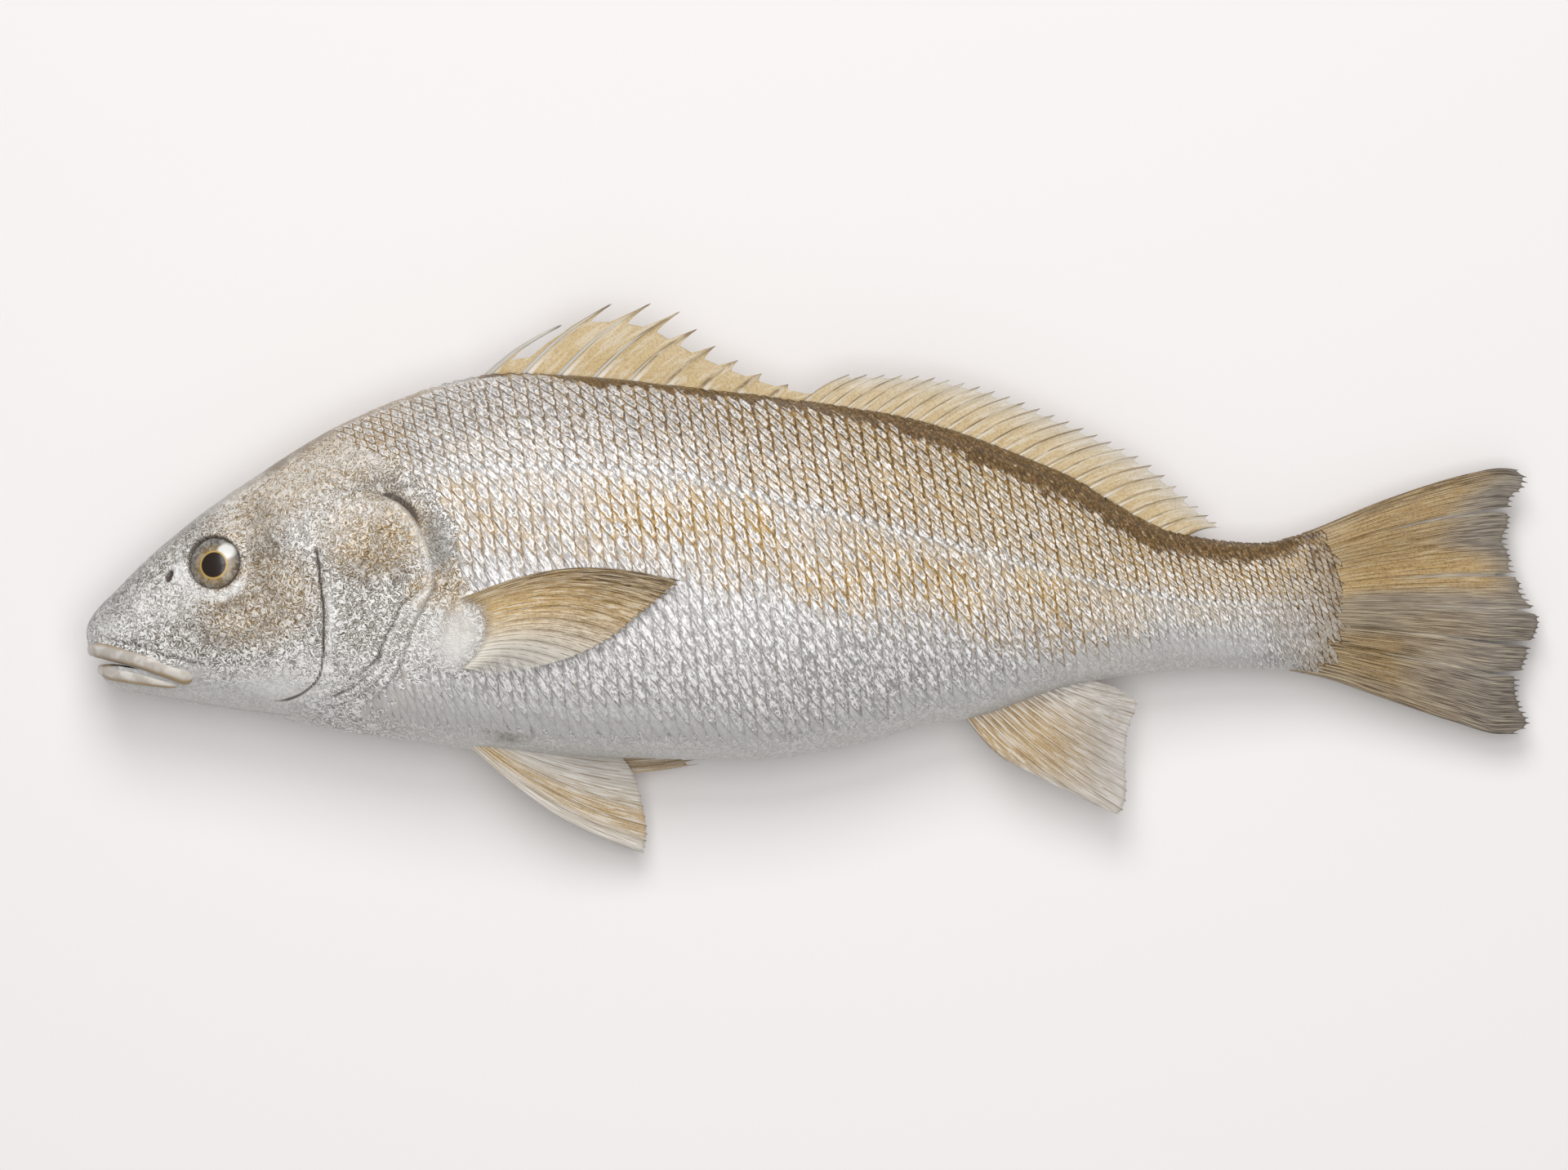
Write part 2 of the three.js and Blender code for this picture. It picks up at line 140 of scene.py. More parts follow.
def outward(along, angle, step=0.02):
    # the surface's normal: the cross product of its slopes along and around, turned away from the middle
    along = np.maximum(along, 2 * step)
    lengthways = onSection(along + step, angle) - onSection(along - step, angle)
    around = onSection(along, angle + step) - onSection(along, angle - step)
    normal = np.cross(lengthways, around)
    normal /= np.maximum(np.linalg.norm(normal, axis=-1, keepdims=True), 1e-9)
    point = onSection(along, angle)
    away = normal[..., 1] * (point[..., 1] - section(along)[0]) + normal[..., 2] * point[..., 2]
    return normal * np.where(away < 0, -1, 1)[..., None]


def lay(points, floor=0):
    # the mid-plane droops with the square of the way behind droopStart, and nothing goes below floor
    along, height, side = np.moveaxis(points, -1, 0)
    behind = np.maximum(along - fish["droopStart"], 0) / (fish["totalLength"] - fish["droopStart"])
    z = fish["midPlaneHeight"] - fish["tailDroop"] * behind**2 + side
    return np.stack([along - fish["totalLength"] / 2, height, np.maximum(z, floor)], -1)


def softNoise(along, height, cell, seed):
    # random values on a square lattice, joined by smooth S curves, from -1 to 1
    size = 256
    values = np.random.default_rng(seed).uniform(-1, 1, (size, size))
    x, y = along / cell, height / cell
    i, j = np.floor(x).astype(int), np.floor(y).astype(int)
    a, b = smooth(x - i, 0, 1), smooth(y - j, 0, 1)
    near = lerp(values[i % size, j % size], values[(i + 1) % size, j % size], a)
    far = lerp(values[i % size, (j + 1) % size], values[(i + 1) % size, (j + 1) % size], a)
    return lerp(near, far, b)


def lineField(points, along, height, steps=48):
    # distance to a smooth line through points, + in front of it where it is drawn downwards; and the place
    # on it, from 0 to 1
    count = len(points) - 1
    places = np.linspace(0, count, steps + 1)
    path = np.stack([through([(i, p[axis]) for i, p in enumerate(points)])(places) for axis in (0, 1)], -1)
    start, run = path[:-1], np.diff(path, axis=0)
    flat = np.stack([along.ravel(), height.ravel()], -1)
    toPoint = flat[:, None] - start
    share = np.clip((toPoint * run).sum(-1) / (run * run).sum(-1), 0, 1)
    gaps = toPoint - share[..., None] * run
    squared = (gaps * gaps).sum(-1)
    best = squared.argmin(1)
    rows = np.arange(len(flat))
    cross = run[best, 1] * toPoint[rows, best, 0] - run[best, 0] * toPoint[rows, best, 1]
    distance = np.sqrt(squared[rows, best]) * np.where(cross < 0, -1, 1)
    place = (best + share[rows, best]) / steps
    return distance.reshape(along.shape), place.reshape(along.shape)


def patch(along, height, middle, radii, turn=0, soft=0.45):
    # an oval spot: 1 inside, fading smoothly to 0 over the soft share round its edge
    c, s = np.cos(np.radians(turn)), np.sin(np.radians(turn))
    x, y = along - middle[0], height - middle[1]
    reach = np.hypot((c * x + s * y) / radii[0], (c * y - s * x) / radii[1])
    return smooth(reach, 1 + soft, 1 - soft)


def gridFaces(rows, columns, wrapRows=False, wrapColumns=False):
    # the quads between neighbouring grid lines; a wrapped direction joins its last line to its first
    i = np.arange(rows if wrapRows else rows - 1)[:, None]
    j = np.arange(columns if wrapColumns else columns - 1)[None]
    i2, j2 = (i + 1) % rows, (j + 1) % columns
    corners = (i * columns + j, i * columns + j2, i2 * columns + j2, i2 * columns + j)
    return np.stack(corners, -1).reshape(-1, 4)


def repeated(faces, count, size):
    # the same faces for each of count things that have size points each
    return (faces[None] + (np.arange(count) * size)[:, None, None]).reshape(-1, 4)


def newObject(name, data):
    thing = bpy.data.objects.new(name, data)
    bpy.context.scene.collection.objects.link(thing)
    return thing


def newMesh(name, points, faces, fields, uv=None):
    # a mesh in metres, its doubles merged and its faces turned outwards, with fields and uv at its points
    mesh = bpy.data.meshes.new(name)
    mesh.from_pydata((points.reshape(-1, 3) * mm).tolist(), [], faces)
    if uv is not None:
        layer = mesh.uv_layers.new(name="plan")
        layer.data.foreach_set("uv", uv.reshape(-1, 2)[np.ravel(faces)].ravel().astype(np.float32))
    for key, values in fields.items():
        attribute = mesh.attributes.new(key, "FLOAT", "POINT")
        attribute.data.foreach_set("value", np.ascontiguousarray(values, np.float32).ravel())
    work = bmesh.new()
    work.from_mesh(mesh)
    bmesh.ops.remove_doubles(work, verts=work.verts, dist=2e-6)
    bmesh.ops.dissolve_degenerate(work, edges=work.edges, dist=1e-7)
    bmesh.ops.recalc_face_normals(work, faces=work.faces)
    work.to_mesh(mesh)
    work.free()
    return mesh


def addPiece(name, points, faces, material, node="fish", fields=None, uv=None, crease=None):
    # a visible piece that stands for a CAD node
    mesh = newMesh(name, points, faces.tolist(), fields or {}, uv)
    mesh.shade_smooth()
    if crease:
        mesh.set_sharp_from_angle(angle=np.radians(crease))
    mesh.materials.append(material)
    piece = newObject(name, mesh)
    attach(piece, "root")
    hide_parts(node)
    print(f"{name}: {len(mesh.polygons)} faces")
    return piece


def linear(code):
    # an sRGB hex colour as linear light
    parts = [int(code[i:i + 2], 16) / 255 for i in (1, 3, 5)]
    return [*(p / 12.92 if p <= 0.04045 else ((p + 0.055) / 1.055) ** 2.4 for p in parts), 1]


def addNode(tree, kind, *values, take=0, sockets=None, **settings):
    # adds a node with its settings, fills its sockets in their order or by name with a link, a value or a hex
    # colour, and gives back the output to take. A kind in capitals is the operation of a Math node
    if kind.isupper():
        kind, settings = "Math", dict(settings, operation=kind)
    node = tree.nodes.new("ShaderNode" + kind)
    for key, value in settings.items():
        setattr(node, key, value)
    for key, value in [*enumerate(values), *(sockets or {}).items()]:
        if isinstance(value, bpy.types.NodeSocket):
            tree.links.new(value, node.inputs[key])
        else:
            node.inputs[key].default_value = linear(value) if isinstance(value, str) else value
    return node.outputs[take]


def newMaterial(name, shader, *details):
    # a material with the surface that shader(add, *details) builds, where add adds a node to it
    material = bpy.data.materials.new(name)
    material.use_nodes = True
    tree = material.node_tree
    tree.nodes.clear()
    surface = shader(partial(addNode, tree), *details)
    tree.links.new(surface, tree.nodes.new("ShaderNodeOutputMaterial").inputs["Surface"])
    return material


def mixed(add, colour, *layers):
    # a colour built in layers: each (amount, colour) covers the last by its amount
    for amount, top in layers:
        colour = add("Mix", take=2, sockets={0: amount, 6: colour, 7: top}, data_type="RGBA")
    return colour


def attributes(add, names):
    return {name: add("Attribute", take="Fac", attribute_name=name) for name in names}


def noise(add, place, cell, detail=2, distortion=0):
    # soft noise whose lumps are about cell mm across
    return add("TexNoise", sockets={
        "Vector": place, "Scale": 1 / (cell * mm), "Detail": detail, "Distortion": distortion})


skinLook = dict(
    grain=1.15,  # mm across one grain of the skin
    grey="#b5b3b0", white="#fdfbf8", line="#4f4a44", gold="#cfa961", goldLine="#6d512d", brown="#65533a",
    seam="#43352a", plain="#c3c1bf", shade="#83817e", fleck="#d9cdb5", ridge="#594429", ridgeTan="#86683e",
)
# the field seam is painted shade in creases, grooves and hollows; light is partly pale skin and partly
# painted highlight
skinFieldNames = ("gold", "brown", "plain", "seam", "light", "dim", "ridge")


def skinShader(add, look):
    # fish skin, guanine crystals under slime: a grey satin of light worm-like grains between dark lines, with
    # painted highlights on the grains' crests and painted shade in its creases
    place = add("TexCoord", take="Object")
    field = attributes(add, skinFieldNames)
    gold = field["gold"]
    rough = add("SUBTRACT", 1.0, field["plain"])
    calm = add("MULTIPLY_ADD", field["light"], -0.5, rough, use_clamp=True)
    fine = noise(add, place, 1.5, 2, 2.0)
    clouds = add("MapRange", noise(add, place, 8, 3), 0.36, 0.56)
    # worm-like grains: a sine of the noise has its crests along the noise's level lines
    wave = add("SINE", add("MULTIPLY", noise(add, place, look["grain"] * 1.7, 1.5, 1.0), 27.0))
    line = add("MULTIPLY", add("MapRange", wave, -0.4, -0.9, 0, 0.95), add("MapRange", fine, 0.38, 0.56))
    line = add("MULTIPLY", line, calm)
    # a second, finer set of strokes where the finer noise passes through a narrow range
    stroke = add("MapRange", add("ABSOLUTE", add("SUBTRACT", fine, 0.47)), 0.04, 0.01, 0, 0.6)
    stroke = add("MULTIPLY", stroke, calm)
    # painted highlight on the grains' crests, over the grains' own pale silver
    crestHighlight = add("MULTIPLY", add("MapRange", wave, 0.0, 0.6, 0, 1), rough)
    crestHighlight = add("MULTIPLY", crestHighlight, add("MapRange", gold, 0, 1, 1, 0.55))
    spots = add("MULTIPLY", add("MULTIPLY", field["brown"], clouds), 0.75)
    gilt = add("MULTIPLY", add("MULTIPLY", add("MapRange", fine, 0.42, 0.6, 0.25, 1), gold), 0.95)
    lineColour = mixed(add, look["line"], (gold, mixed(add, look["goldLine"], (clouds, look["brown"]))))
    ridgeColour = mixed(add, look["ridge"], (add("MapRange", fine, 0.46, 0.58), look["ridgeTan"]))
    flecks = add("MULTIPLY", add("MapRange", fine, 0.63, 0.68, 0, 0.8), field["ridge"])
    # painted shade darkens the creases, grooves and hollows
    seam = add("MapRange", field["seam"], 0.4, 0.9, 0, 0.95)
    colour = mixed(
        add, look["grey"], (field["plain"], look["plain"]), (gilt, look["gold"]), (crestHighlight, look["white"]),
        (field["light"], look["white"]), (field["dim"], look["shade"]), (spots, look["brown"]),
        (stroke, lineColour), (line, lineColour), (field["ridge"], ridgeColour), (flecks, look["fleck"]),
        (seam, look["seam"]))
    relief = add("MULTIPLY", add("ADD", wave, fine), rough)
    bump = add("Bump", sockets={"Height": relief, "Strength": 0.6, "Distance": 0.16 * mm})
    return add("BsdfPrincipled", sockets={
        "Base Color": colour, "Roughness": 0.4, "Metallic": 0.1, "IOR": 1.4, "Coat Weight": 0.15,
        "Coat Roughness": 0.2, "Normal": bump})


# sunk and sunkTan are painted shade; light serves the lateral line's pores and painted highlights
scaleLook = dict(
    white="#e1dedd", pale="#c6c4c4", beige="#d9c8a6", smudge="#807d7b", sunk="#9a9898", sunkTan="#a3895f",
    light="#faf8f7", greyNet="#b9b7b7", greyCore="#85827f", goldNet="#b8934a", goldCore="#644a25",
    tanNet="#a48147", brownCore="#403020", belly="#c6c4c2", lateral="#7d7974", root="#a09481",
)
scaleFieldNames = (
    "gold", "brown", "band", "grey", "fleck", "warm", "pick", "fade", "ridge", "midline", "dull")


def scaleShader(add, look):
    # a scale: clear bone over guanine, white to grey, in a net of pigment along its free edges. Its plan runs
    # across (x) and rearwards (y) from -1 to 1, so 1 - |x| - y is the way in from its two free edges
    place = add("TexCoord", take="Object")
    field = attributes(add, scaleFieldNames)
    gold, grey, band, warm = (field[key] for key in ("gold", "grey", "band", "warm"))
    # the grain is drawn out along the scales, which slant 64 degrees down and back
    turned = add("Mapping", place, (0, 0, 0), (0, 0, np.radians(64)))
    drawn = add("Mapping", turned, (0, 0, 0), (0, 0, 0), (0.5, 1.25, 1))
    grain, fine = noise(add, drawn, 1.0, 2, 0.9), noise(add, drawn, 0.55, 1, 0.6)
    mottle = noise(add, place, 3.4)
    # the plan wavers a little, so that no line is ruled
    waver = add("TexNoise", take=1, sockets={"Vector": place, "Scale": 1 / (1.7 * mm), "Detail": 1})
    waver = add("VectorMath", waver, (0.5, 0.5, 0.5), operation="SUBTRACT")
    waver = add("VectorMath", sockets={0: waver, "Scale": 0.7}, operation="SCALE")
    plan = add("VectorMath", add("UVMap", uv_map="plan"), waver, operation="ADD")
    across, rearwards = (add("SeparateXYZ", plan, take=i) for i in (0, 1))
    wide = add("ABSOLUTE", across)
    inside = add("SUBTRACT", 1.0, wide)
    free, covered = add("SUBTRACT", inside, rearwards), add("ADD", inside, rearwards)
    # the net is wider at the corners, and thinner along the edge that runs with the fish
    corner, tip = add("MapRange", wide, 0.6, 1.0, 0, 0.42), add("MapRange", rearwards, 0.45, 0.95, 0, 0.55)
    width = add("ADD", add("MapRange", mottle, 0.35, 0.65, 0.08, 0.24), add("ADD", corner, tip))
    width = add("ADD", width, band)
    width = add("MULTIPLY", width, add("MapRange", across, -0.1, 0.1, 0.85, 1.0))
    soft = add("MULTIPLY", width, add("MapRange", grey, 0, 1, 0.6, 0.2))
    behind = add("MULTIPLY", band, 1.3)
    inFront = add("MapRange", covered, behind, add("MULTIPLY", behind, 0.4))
    net = add("MAXIMUM", add("MapRange", free, width, soft), inFront)
    # a dark broken line runs in the net
    core = add("MapRange", free, add("MULTIPLY", width, 0.6), add("MULTIPLY", width, 0.22))
    core = add("MULTIPLY", core, add("MapRange", fine, 0.4, 0.54, 0.3, 0.95))
    # just inside the net a painted highlight along the raised free edge, and then a thin grey line, both
    # strongest among the gold
    rims = []
    for way, reach, low, high in ((0.13, 0.13, 0.35, 0.8), (0.4, 0.1, 0.15, 0.6)):
        rim = add("ABSOLUTE", add("SUBTRACT", add("SUBTRACT", free, width), way))
        rim = add("MapRange", rim, reach, reach * 0.3)
        rims.append(add("MULTIPLY", rim, add("MapRange", gold, 0, 1, low, high)))
    rimHighlight, greyRim = rims[0], add("MULTIPLY", rims[1], add("MapRange", grain, 0.56, 0.46))
    # painted shade: darker where it comes out from below its neighbours
    sunk = add("MapRange", covered, 0.75, -0.1, 0.05, 0.75)
    sunk = add("MULTIPLY", sunk, add("MapRange", mottle, 0.35, 0.65, 0.3, 1.1))
    # a dark spot before the tip, and the white middle of a grey scale, partly its silver and partly painted
    # highlight
    spots = []
    for key, middle, stretch, low, high in (("pick", (0, -0.42, 0), (3.0, 1.8, 1), 1.3, 0.8),
                                            ("fleck", (0, 0.12, 0), (2.2, 1.5, 1), 1.5, 0.95)):
        local = add("Mapping", plan, middle, (0, 0, 0), stretch)
        reach = add("ADD", add("VectorMath", local, take="Value", operation="LENGTH"), grain)
        spots.append(add("MULTIPLY", add("MapRange", reach, low, high), field[key]))
    smudges = add("MapRange", grain, 0.52, 0.4, 0.05, 0.75)
    smudges = add("MULTIPLY", smudges, add("MapRange", grey, 0.35, 0.85, 0.85, 1.2))
    # painted glints: white flecks of highlight scattered over the grain
    lights = add("MapRange", grain, 0.55, 0.63, 0, 0.85)
    patches = add("MULTIPLY", add("MapRange", mottle, 0.6, 0.42, 0, 0.65), gold)
    body = mixed(
        add, look["white"], (warm, look["beige"]), (grey, look["pale"]),
        (sunk, mixed(add, look["sunk"], (warm, look["sunkTan"]))), (spots[1], look["light"]),
        (smudges, look["smudge"]), (patches, look["goldNet"]), (spots[0], look["smudge"]),
        (lights, look["light"]), (greyRim, look["smudge"]), (rimHighlight, look["light"]))
    netColour = mixed(add, look["greyNet"], (gold, look["goldNet"]), (field["brown"], look["tanNet"]),
                      (add("MapRange", fine, 0.56, 0.64, 0, 0.7), look["beige"]))
    coreColour = mixed(add, look["greyCore"], (gold, look["goldCore"]), (field["brown"], look["brownCore"]))
    # the pores of the lateral line: light spokes round the middle of a scale
    angle = add("MULTIPLY_ADD", add("ARCTAN2", rearwards, across), 3.0, add("MULTIPLY", grain, 9.0))
    star = mixed(add, look["lateral"], (add("MapRange", add("SINE", angle), -0.1, 0.5), look["light"]))
    midline = add("MULTIPLY", add("MapRange", add("ABSOLUTE", rearwards), 0.75, 0.35), field["midline"])
    # the dark back takes in the net first and the middles of the scales last
    ridge = add("MULTIPLY_ADD", mottle, 0.9, add("MULTIPLY_ADD", net, 0.3, field["ridge"]))
    ridge = add("MapRange", ridge, 0.95, 1.2)
    ridgeColour = mixed(add, skinLook["ridge"], (add("MapRange", grain, 0.45, 0.58), skinLook["ridgeTan"]))
    flecks = add("MULTIPLY", add("MapRange", grain, 0.65, 0.7, 0, 0.6), ridge)
    colour = mixed(
        add, body, (field["dull"], look["root"]), (net, netColour), (core, coreColour), (midline, star),
        (field["fade"], look["belly"]), (ridge, ridgeColour), (flecks, skinLook["fleck"]))
    bump = add("Bump", sockets={"Height": grain, "Strength": 0.4, "Distance": 0.4 * mm})
    return add("BsdfPrincipled", sockets={
        "Base Color": colour, "Roughness": 0.38, "Metallic": 0.1, "IOR": 1.45, "Coat Weight": 0.2,
        "Coat Roughness": 0.18, "Normal": bump})


# a fin's streaks and breaks are how often its streaks change, for each ray across and over its length
finLook = dict(
    tan="#cdb076", grain="#b08f55", pale="#dcd8ce", ray="#6f5b41", rayLight="#f0ece2", dusk="#4a3b2e",
    split=0.0, streaks=5, breaks=2.2)
bellyFinLook = dict(
    tan="#cba869", grain="#ab8a52", pale="#dcd7cf", ray="#9b8567", rayLight="#f5f2ec", dusk="#6b5843",
    split=0.4, streaks=5, breaks=6)
pectoralLook = dict(
    tan="#c59f58", grain="#90703c", pale="#e6e1d7", ray="#715a3c", rayLight="#efe6d2", dusk="#3f3022",
    split=0.3, streaks=5, breaks=9)
tailLook = dict(
    tan="#c09d62", grain="#876a40", pale="#9b9389", ray="#4b3a29", rayLight="#cfc1a4", dusk="#463729",
    split=0.35, streaks=7, breaks=7)


def finShader(add, look):
    # fin web: thin skin between bony rays, tan where it holds pigment and see-through by its clear field. Its
    # plan counts the rays across (x), whole numbers lying on them, and runs out along them (y) from 0 to 1
    place = add("TexCoord", take="Object")
    plan = add("UVMap", uv_map="plan")
    field = attributes(add, ("tan", "dusk", "clear", "rays"))
    across, out = (add("SeparateXYZ", plan, take=i) for i in (0, 1))
    near = add("SUBTRACT", add("FRACT", add("ADD", across, 0.5)), 0.5)
    line = add("MapRange", add("ABSOLUTE", near), 0.11, 0.03, 0, 0.85)
    line = add("MULTIPLY", line, add("MapRange", out, 0.03, 0.22))
    # towards its tip a ray splits in three
    third = add("SUBTRACT", add("FRACT", add("MULTIPLY_ADD", near, 3.0, 0.5)), 0.5)
    twig = add("MapRange", add("ABSOLUTE", third), 0.24, 0.1)
    twig = add("MULTIPLY", twig, add("MapRange", out, 0.15, 0.5, 0, look["split"]))
    line = add("MAXIMUM", line, twig)
    # a painted highlight along one side of each raised ray, near its root
    rayHighlight = add("MapRange", add("ABSOLUTE", add("SUBTRACT", near, 0.17)), 0.1, 0.04)
    rayHighlight = add("MULTIPLY", rayHighlight, add("MapRange", out, 0.45, 0.05))
    grain = add("MULTIPLY", add("MapRange", noise(add, place, 0.7, 1), 0.5, 0.6, 0, 0.55), field["tan"])
    # streaks run out along the rays
    stretched = add("Mapping", plan, (0, 0, 0), (0, 0, 0), (look["streaks"], look["breaks"], 1))
    streaks = add("TexNoise", sockets={"Vector": stretched, "Scale": 1.0, "Detail": 4, "Distortion": 0.6})
    line = add("MULTIPLY", line, add("MapRange", streaks, 0.6, 0.46, 0.25, 1))
    pale = add("MULTIPLY", add("MapRange", streaks, 0.51, 0.6, 0, 0.8), field["rays"])
    dusk = add("MULTIPLY", add("MapRange", streaks, 0.5, 0.42, 0.35, 1), field["dusk"])
    colour = mixed(
        add, look["pale"], (field["tan"], look["tan"]), (grain, look["grain"]), (pale, look["rayLight"]),
        (dusk, look["dusk"]), (line, look["ray"]), (rayHighlight, look["rayLight"]))
    hold = add("MULTIPLY", add("MULTIPLY_ADD", line, -0.5, 1.0), field["clear"])
    bump = add("Bump", sockets={"Height": streaks, "Strength": 0.4, "Distance": 0.25 * mm})
    return add("BsdfPrincipled", sockets={
        "Base Color": colour, "Roughness": 0.4, "IOR": 1.4, "Alpha": add("SUBTRACT", 1.0, hold),
        "Normal": bump})


def boneShader(add, look):
    # spine bone under thin skin: pale grey, with dark lines along it and a dark dry tip
    plan = add("UVMap", uv_map="plan")
    stretched = add("Mapping", plan, (0, 0, 0), (0, 0, 0), (16, 1.5, 1))
    streaks = add("TexNoise", sockets={"Vector": stretched, "Scale": 1.0, "Detail": 2})
    streaks = add("MapRange", streaks, 0.5, 0.62, 0, 0.75)
    tip = add("MapRange", add("SeparateXYZ", plan, take=1), 0.82, 1.0, 0, 0.8)
    colour = mixed(add, look["pale"], (streaks, look["line"]), (tip, look["tip"]))
    return add("BsdfPrincipled", sockets={"Base Color": colour, "Roughness": 0.4, "IOR": 1.5})


def lipShader(add, look):
    # lip skin: smooth, moist and cream, tan along its edges, and painted shade on its side that faces into
    # the mouth
    field = attributes(add, ("rim", "mouth"))
    cloud = noise(add, add("TexCoord", take="Object"), 4, 3)
    colour = mixed(add, look["cream"], (add("MapRange", cloud, 0.45, 0.6, 0, 0.8), look["light"]),
                   (field["rim"], look["tan"]), (field["mouth"], look["dark"]))
    bump = add("Bump", sockets={"Height": cloud, "Strength": 0.2, "Distance": 0.4 * mm})
    return add("BsdfPrincipled", sockets={
        "Base Color": colour, "Roughness": 0.35, "IOR": 1.4, "Coat Weight": 0.3, "Coat Roughness": 0.12,
        "Normal": bump})


def eyeShader(add, look):
    # an eyeball: a wet cornea over a silver iris, with a gold ring round the dark pupil. Its plan is the disk
    # seen from outside, from -1 to 1
    plan = add("UVMap", uv_map="plan")
    places = (plan, add("Mapping", plan, (-0.05, 0.13, 0)),
              add("Mapping", plan, (-1.05, -0.75, 0), (0, 0, 0), (2.2, 2.2, 1)))
    # glint is a painted highlight at the upper right of the iris
    whole, reach, glint = (add("VectorMath", place, take="Value", operation="LENGTH") for place in places)
    clouds = add("TexNoise", sockets={"Vector": plan, "Scale": 4.5, "Detail": 3, "Distortion": 0.8})
    colour = mixed(
        add, look["shade"], (add("MapRange", clouds, 0.42, 0.6), look["silver"]),
        (add("MapRange", reach, 0.85, 0.55, 0, 0.35), look["ring"]),
        (add("MapRange", glint, 0.8, 0.5, 0, 0.9), look["light"]),
        (add("MapRange", reach, 0.52, 0.49), look["ring"]),
        (add("MapRange", reach, 0.46, 0.43), look["pupil"]),
        (add("MapRange", whole, 0.87, 0.94), look["rim"]))
    return add("BsdfPrincipled", sockets={
        "Base Color": colour, "Roughness": 0.3, "IOR": 1.36, "Coat Weight": 0.25, "Coat Roughness": 0.05})


skinMaterial = newMaterial("slimedGuanineSkin", skinShader, skinLook)
scaleMaterial = newMaterial("guanineScale", scaleShader, scaleLook)
finMaterial = newMaterial("finWeb", finShader, finLook)
tailMaterial = newMaterial("tailFinWeb", finShader, tailLook)
pectoralMaterial = newMaterial("pectoralFinWeb", finShader, pectoralLook)
bellyFinMaterial = newMaterial("bellyFinWeb", finShader, bellyFinLook)
boneMaterial = newMaterial("spineBone", boneShader, dict(pale="#cfcac0", line="#5a4a3a", tip="#4b3d31"))
lipMaterial = newMaterial("lipSkin", lipShader, dict(
    cream="#bab3aa", light="#dcd8d3", tan="#9d8562", dark="#4e3b2f"))
eyeMaterial = newMaterial("wetCornea", eyeShader, dict(
    pupil="#2b221d", ring="#c2a05c", silver="#938f8a", shade="#57514b", light="#f4f3f0", rim="#4e3f33"))
print("materials made")

eye = dict(at=(40.2, 4.7), radius=8.8, halfDepth=4.9, sunk=2.6, rings=49, around=96)
gill = dict(
    # the free edge of the gill cover, from the nape down to the throat
    edge=[
        (104, 58), (97, 46), (91.5, 34), (90.4, 26), (96.9, 23.4), (101.6, 18.7), (105.5, 12.1), (107.7, 5.5),
        (108.6, -1), (106.4, -7), (102.1, -14.5), (99.6, -22.6), (96.4, -29.5), (89.9, -36.5), (83.8, -40.9),
        (76.9, -43.4), (70, -46.5)],
    lift=1.7,  # of the edge over the flesh
    fall=24,  # over this far forwards the lift dies out
    under=1.5,  # depth of what lies hidden below the other piece
    firm=(0.2, 0.88),  # the edge is free between these places on its line
)
cheekEdge = [  # the cheek plate's rear edge, in front of the gill cover
    (70.4, 12), (71.4, 8.5), (72.1, 5.2), (72.7, -0.9), (73.6, -7.8), (73.8, -14.8), (73.6, -21.8),
    (73.2, -26.5), (72.1, -30.4), (69.1, -33.9), (64.7, -36.5), (59.5, -37.6), (45.6, -36.9)]
gillSeam = [
    (108.1, -0.9), (102.1, -4.8), (97.7, -8.7), (95.5, -13.9), (92.5, -19.1), (90.8, -23.5), (87.3, -27.4),
    (83.8, -30.4), (80.4, -33.9), (76.9, -36.5), (69, -39.7)]
jawSeam = [(10.5, -34), (19.5, -36.2), (32.6, -38.4), (47.3, -40.9), (61.2, -42.4), (70, -43.6)]
browSeam = [(61.2, 15.6), (62.1, 8.7), (59.9, 0.9), (57.7, -3.5)]
lipSeam = [(3, -18.6), (10, -19.6), (18, -21.6), (26, -24.6), (34, -26.2), (41, -27)]
scaleFront = [  # the scales begin behind this line
    (70, 50), (75.7, 43.5), (81.8, 42), (87.8, 39.4), (92, 37.4), (96.9, 35.3), (98.9, 30), (104.5, 27.3),
    (110.8, 20.9), (114.6, 14.6), (116, 4.5), (120, -8), (123, -18), (121, -26), (111, -29), (101, -30.5),
    (95, -35.5), (87, -40.5), (76, -44)]
skinSpots = dict(  # the oval spots of each field: (amount, middle, radii, turn in degrees); the light spots are partly pale skin and partly painted sheen and glints
    gold=[(1, (90, 14), (18, 14)), (0.8, (54, -6), (20, 16), 20), (0.9, (106, -4), (7, 6))],
    brown=[(0.65, (56.5, 8), (6.5, 15), 6), (0.6, (46, -13.5), (17, 7.5), 12), (0.45, (89, 3), (11, 7)),
           (0.6, (66, 41), (17, 2.5), 38), (0.5, (92, 28), (10, 4), 10), (0.3, (30, 10), (14, 4), 45)],
    plain=[(0.35, (4, -16), (6, 6))],
    light=[(0.45, (23, -8), (19, 7), 22), (0.4, (72, -30), (24, 9), 4), (0.4, (100, -30), (26, 9), 25),
           (0.3, (66, 28), (24, 8), 38), (0.5, (46, 31), (15, 8), 45), (0.4, (90, 42), (16, 8), 28),
           (0.3, (72, 19), (12, 12)), (0.35, (84, 21), (9, 4), 10)],
    dim=[(0.35, (11, -6), (10, 4), 48)],
)
ridgeWide = through([  # mm, width of the brown band below the dorsal fins
    (0, 0.5), (108, 0.5), (125, 1.3), (160, 2.2), (215, 2.8), (237, 3.8), (260, 6), (298, 8), (325, 8),
    (345, 6), (372, 5), (400, 3.5)])


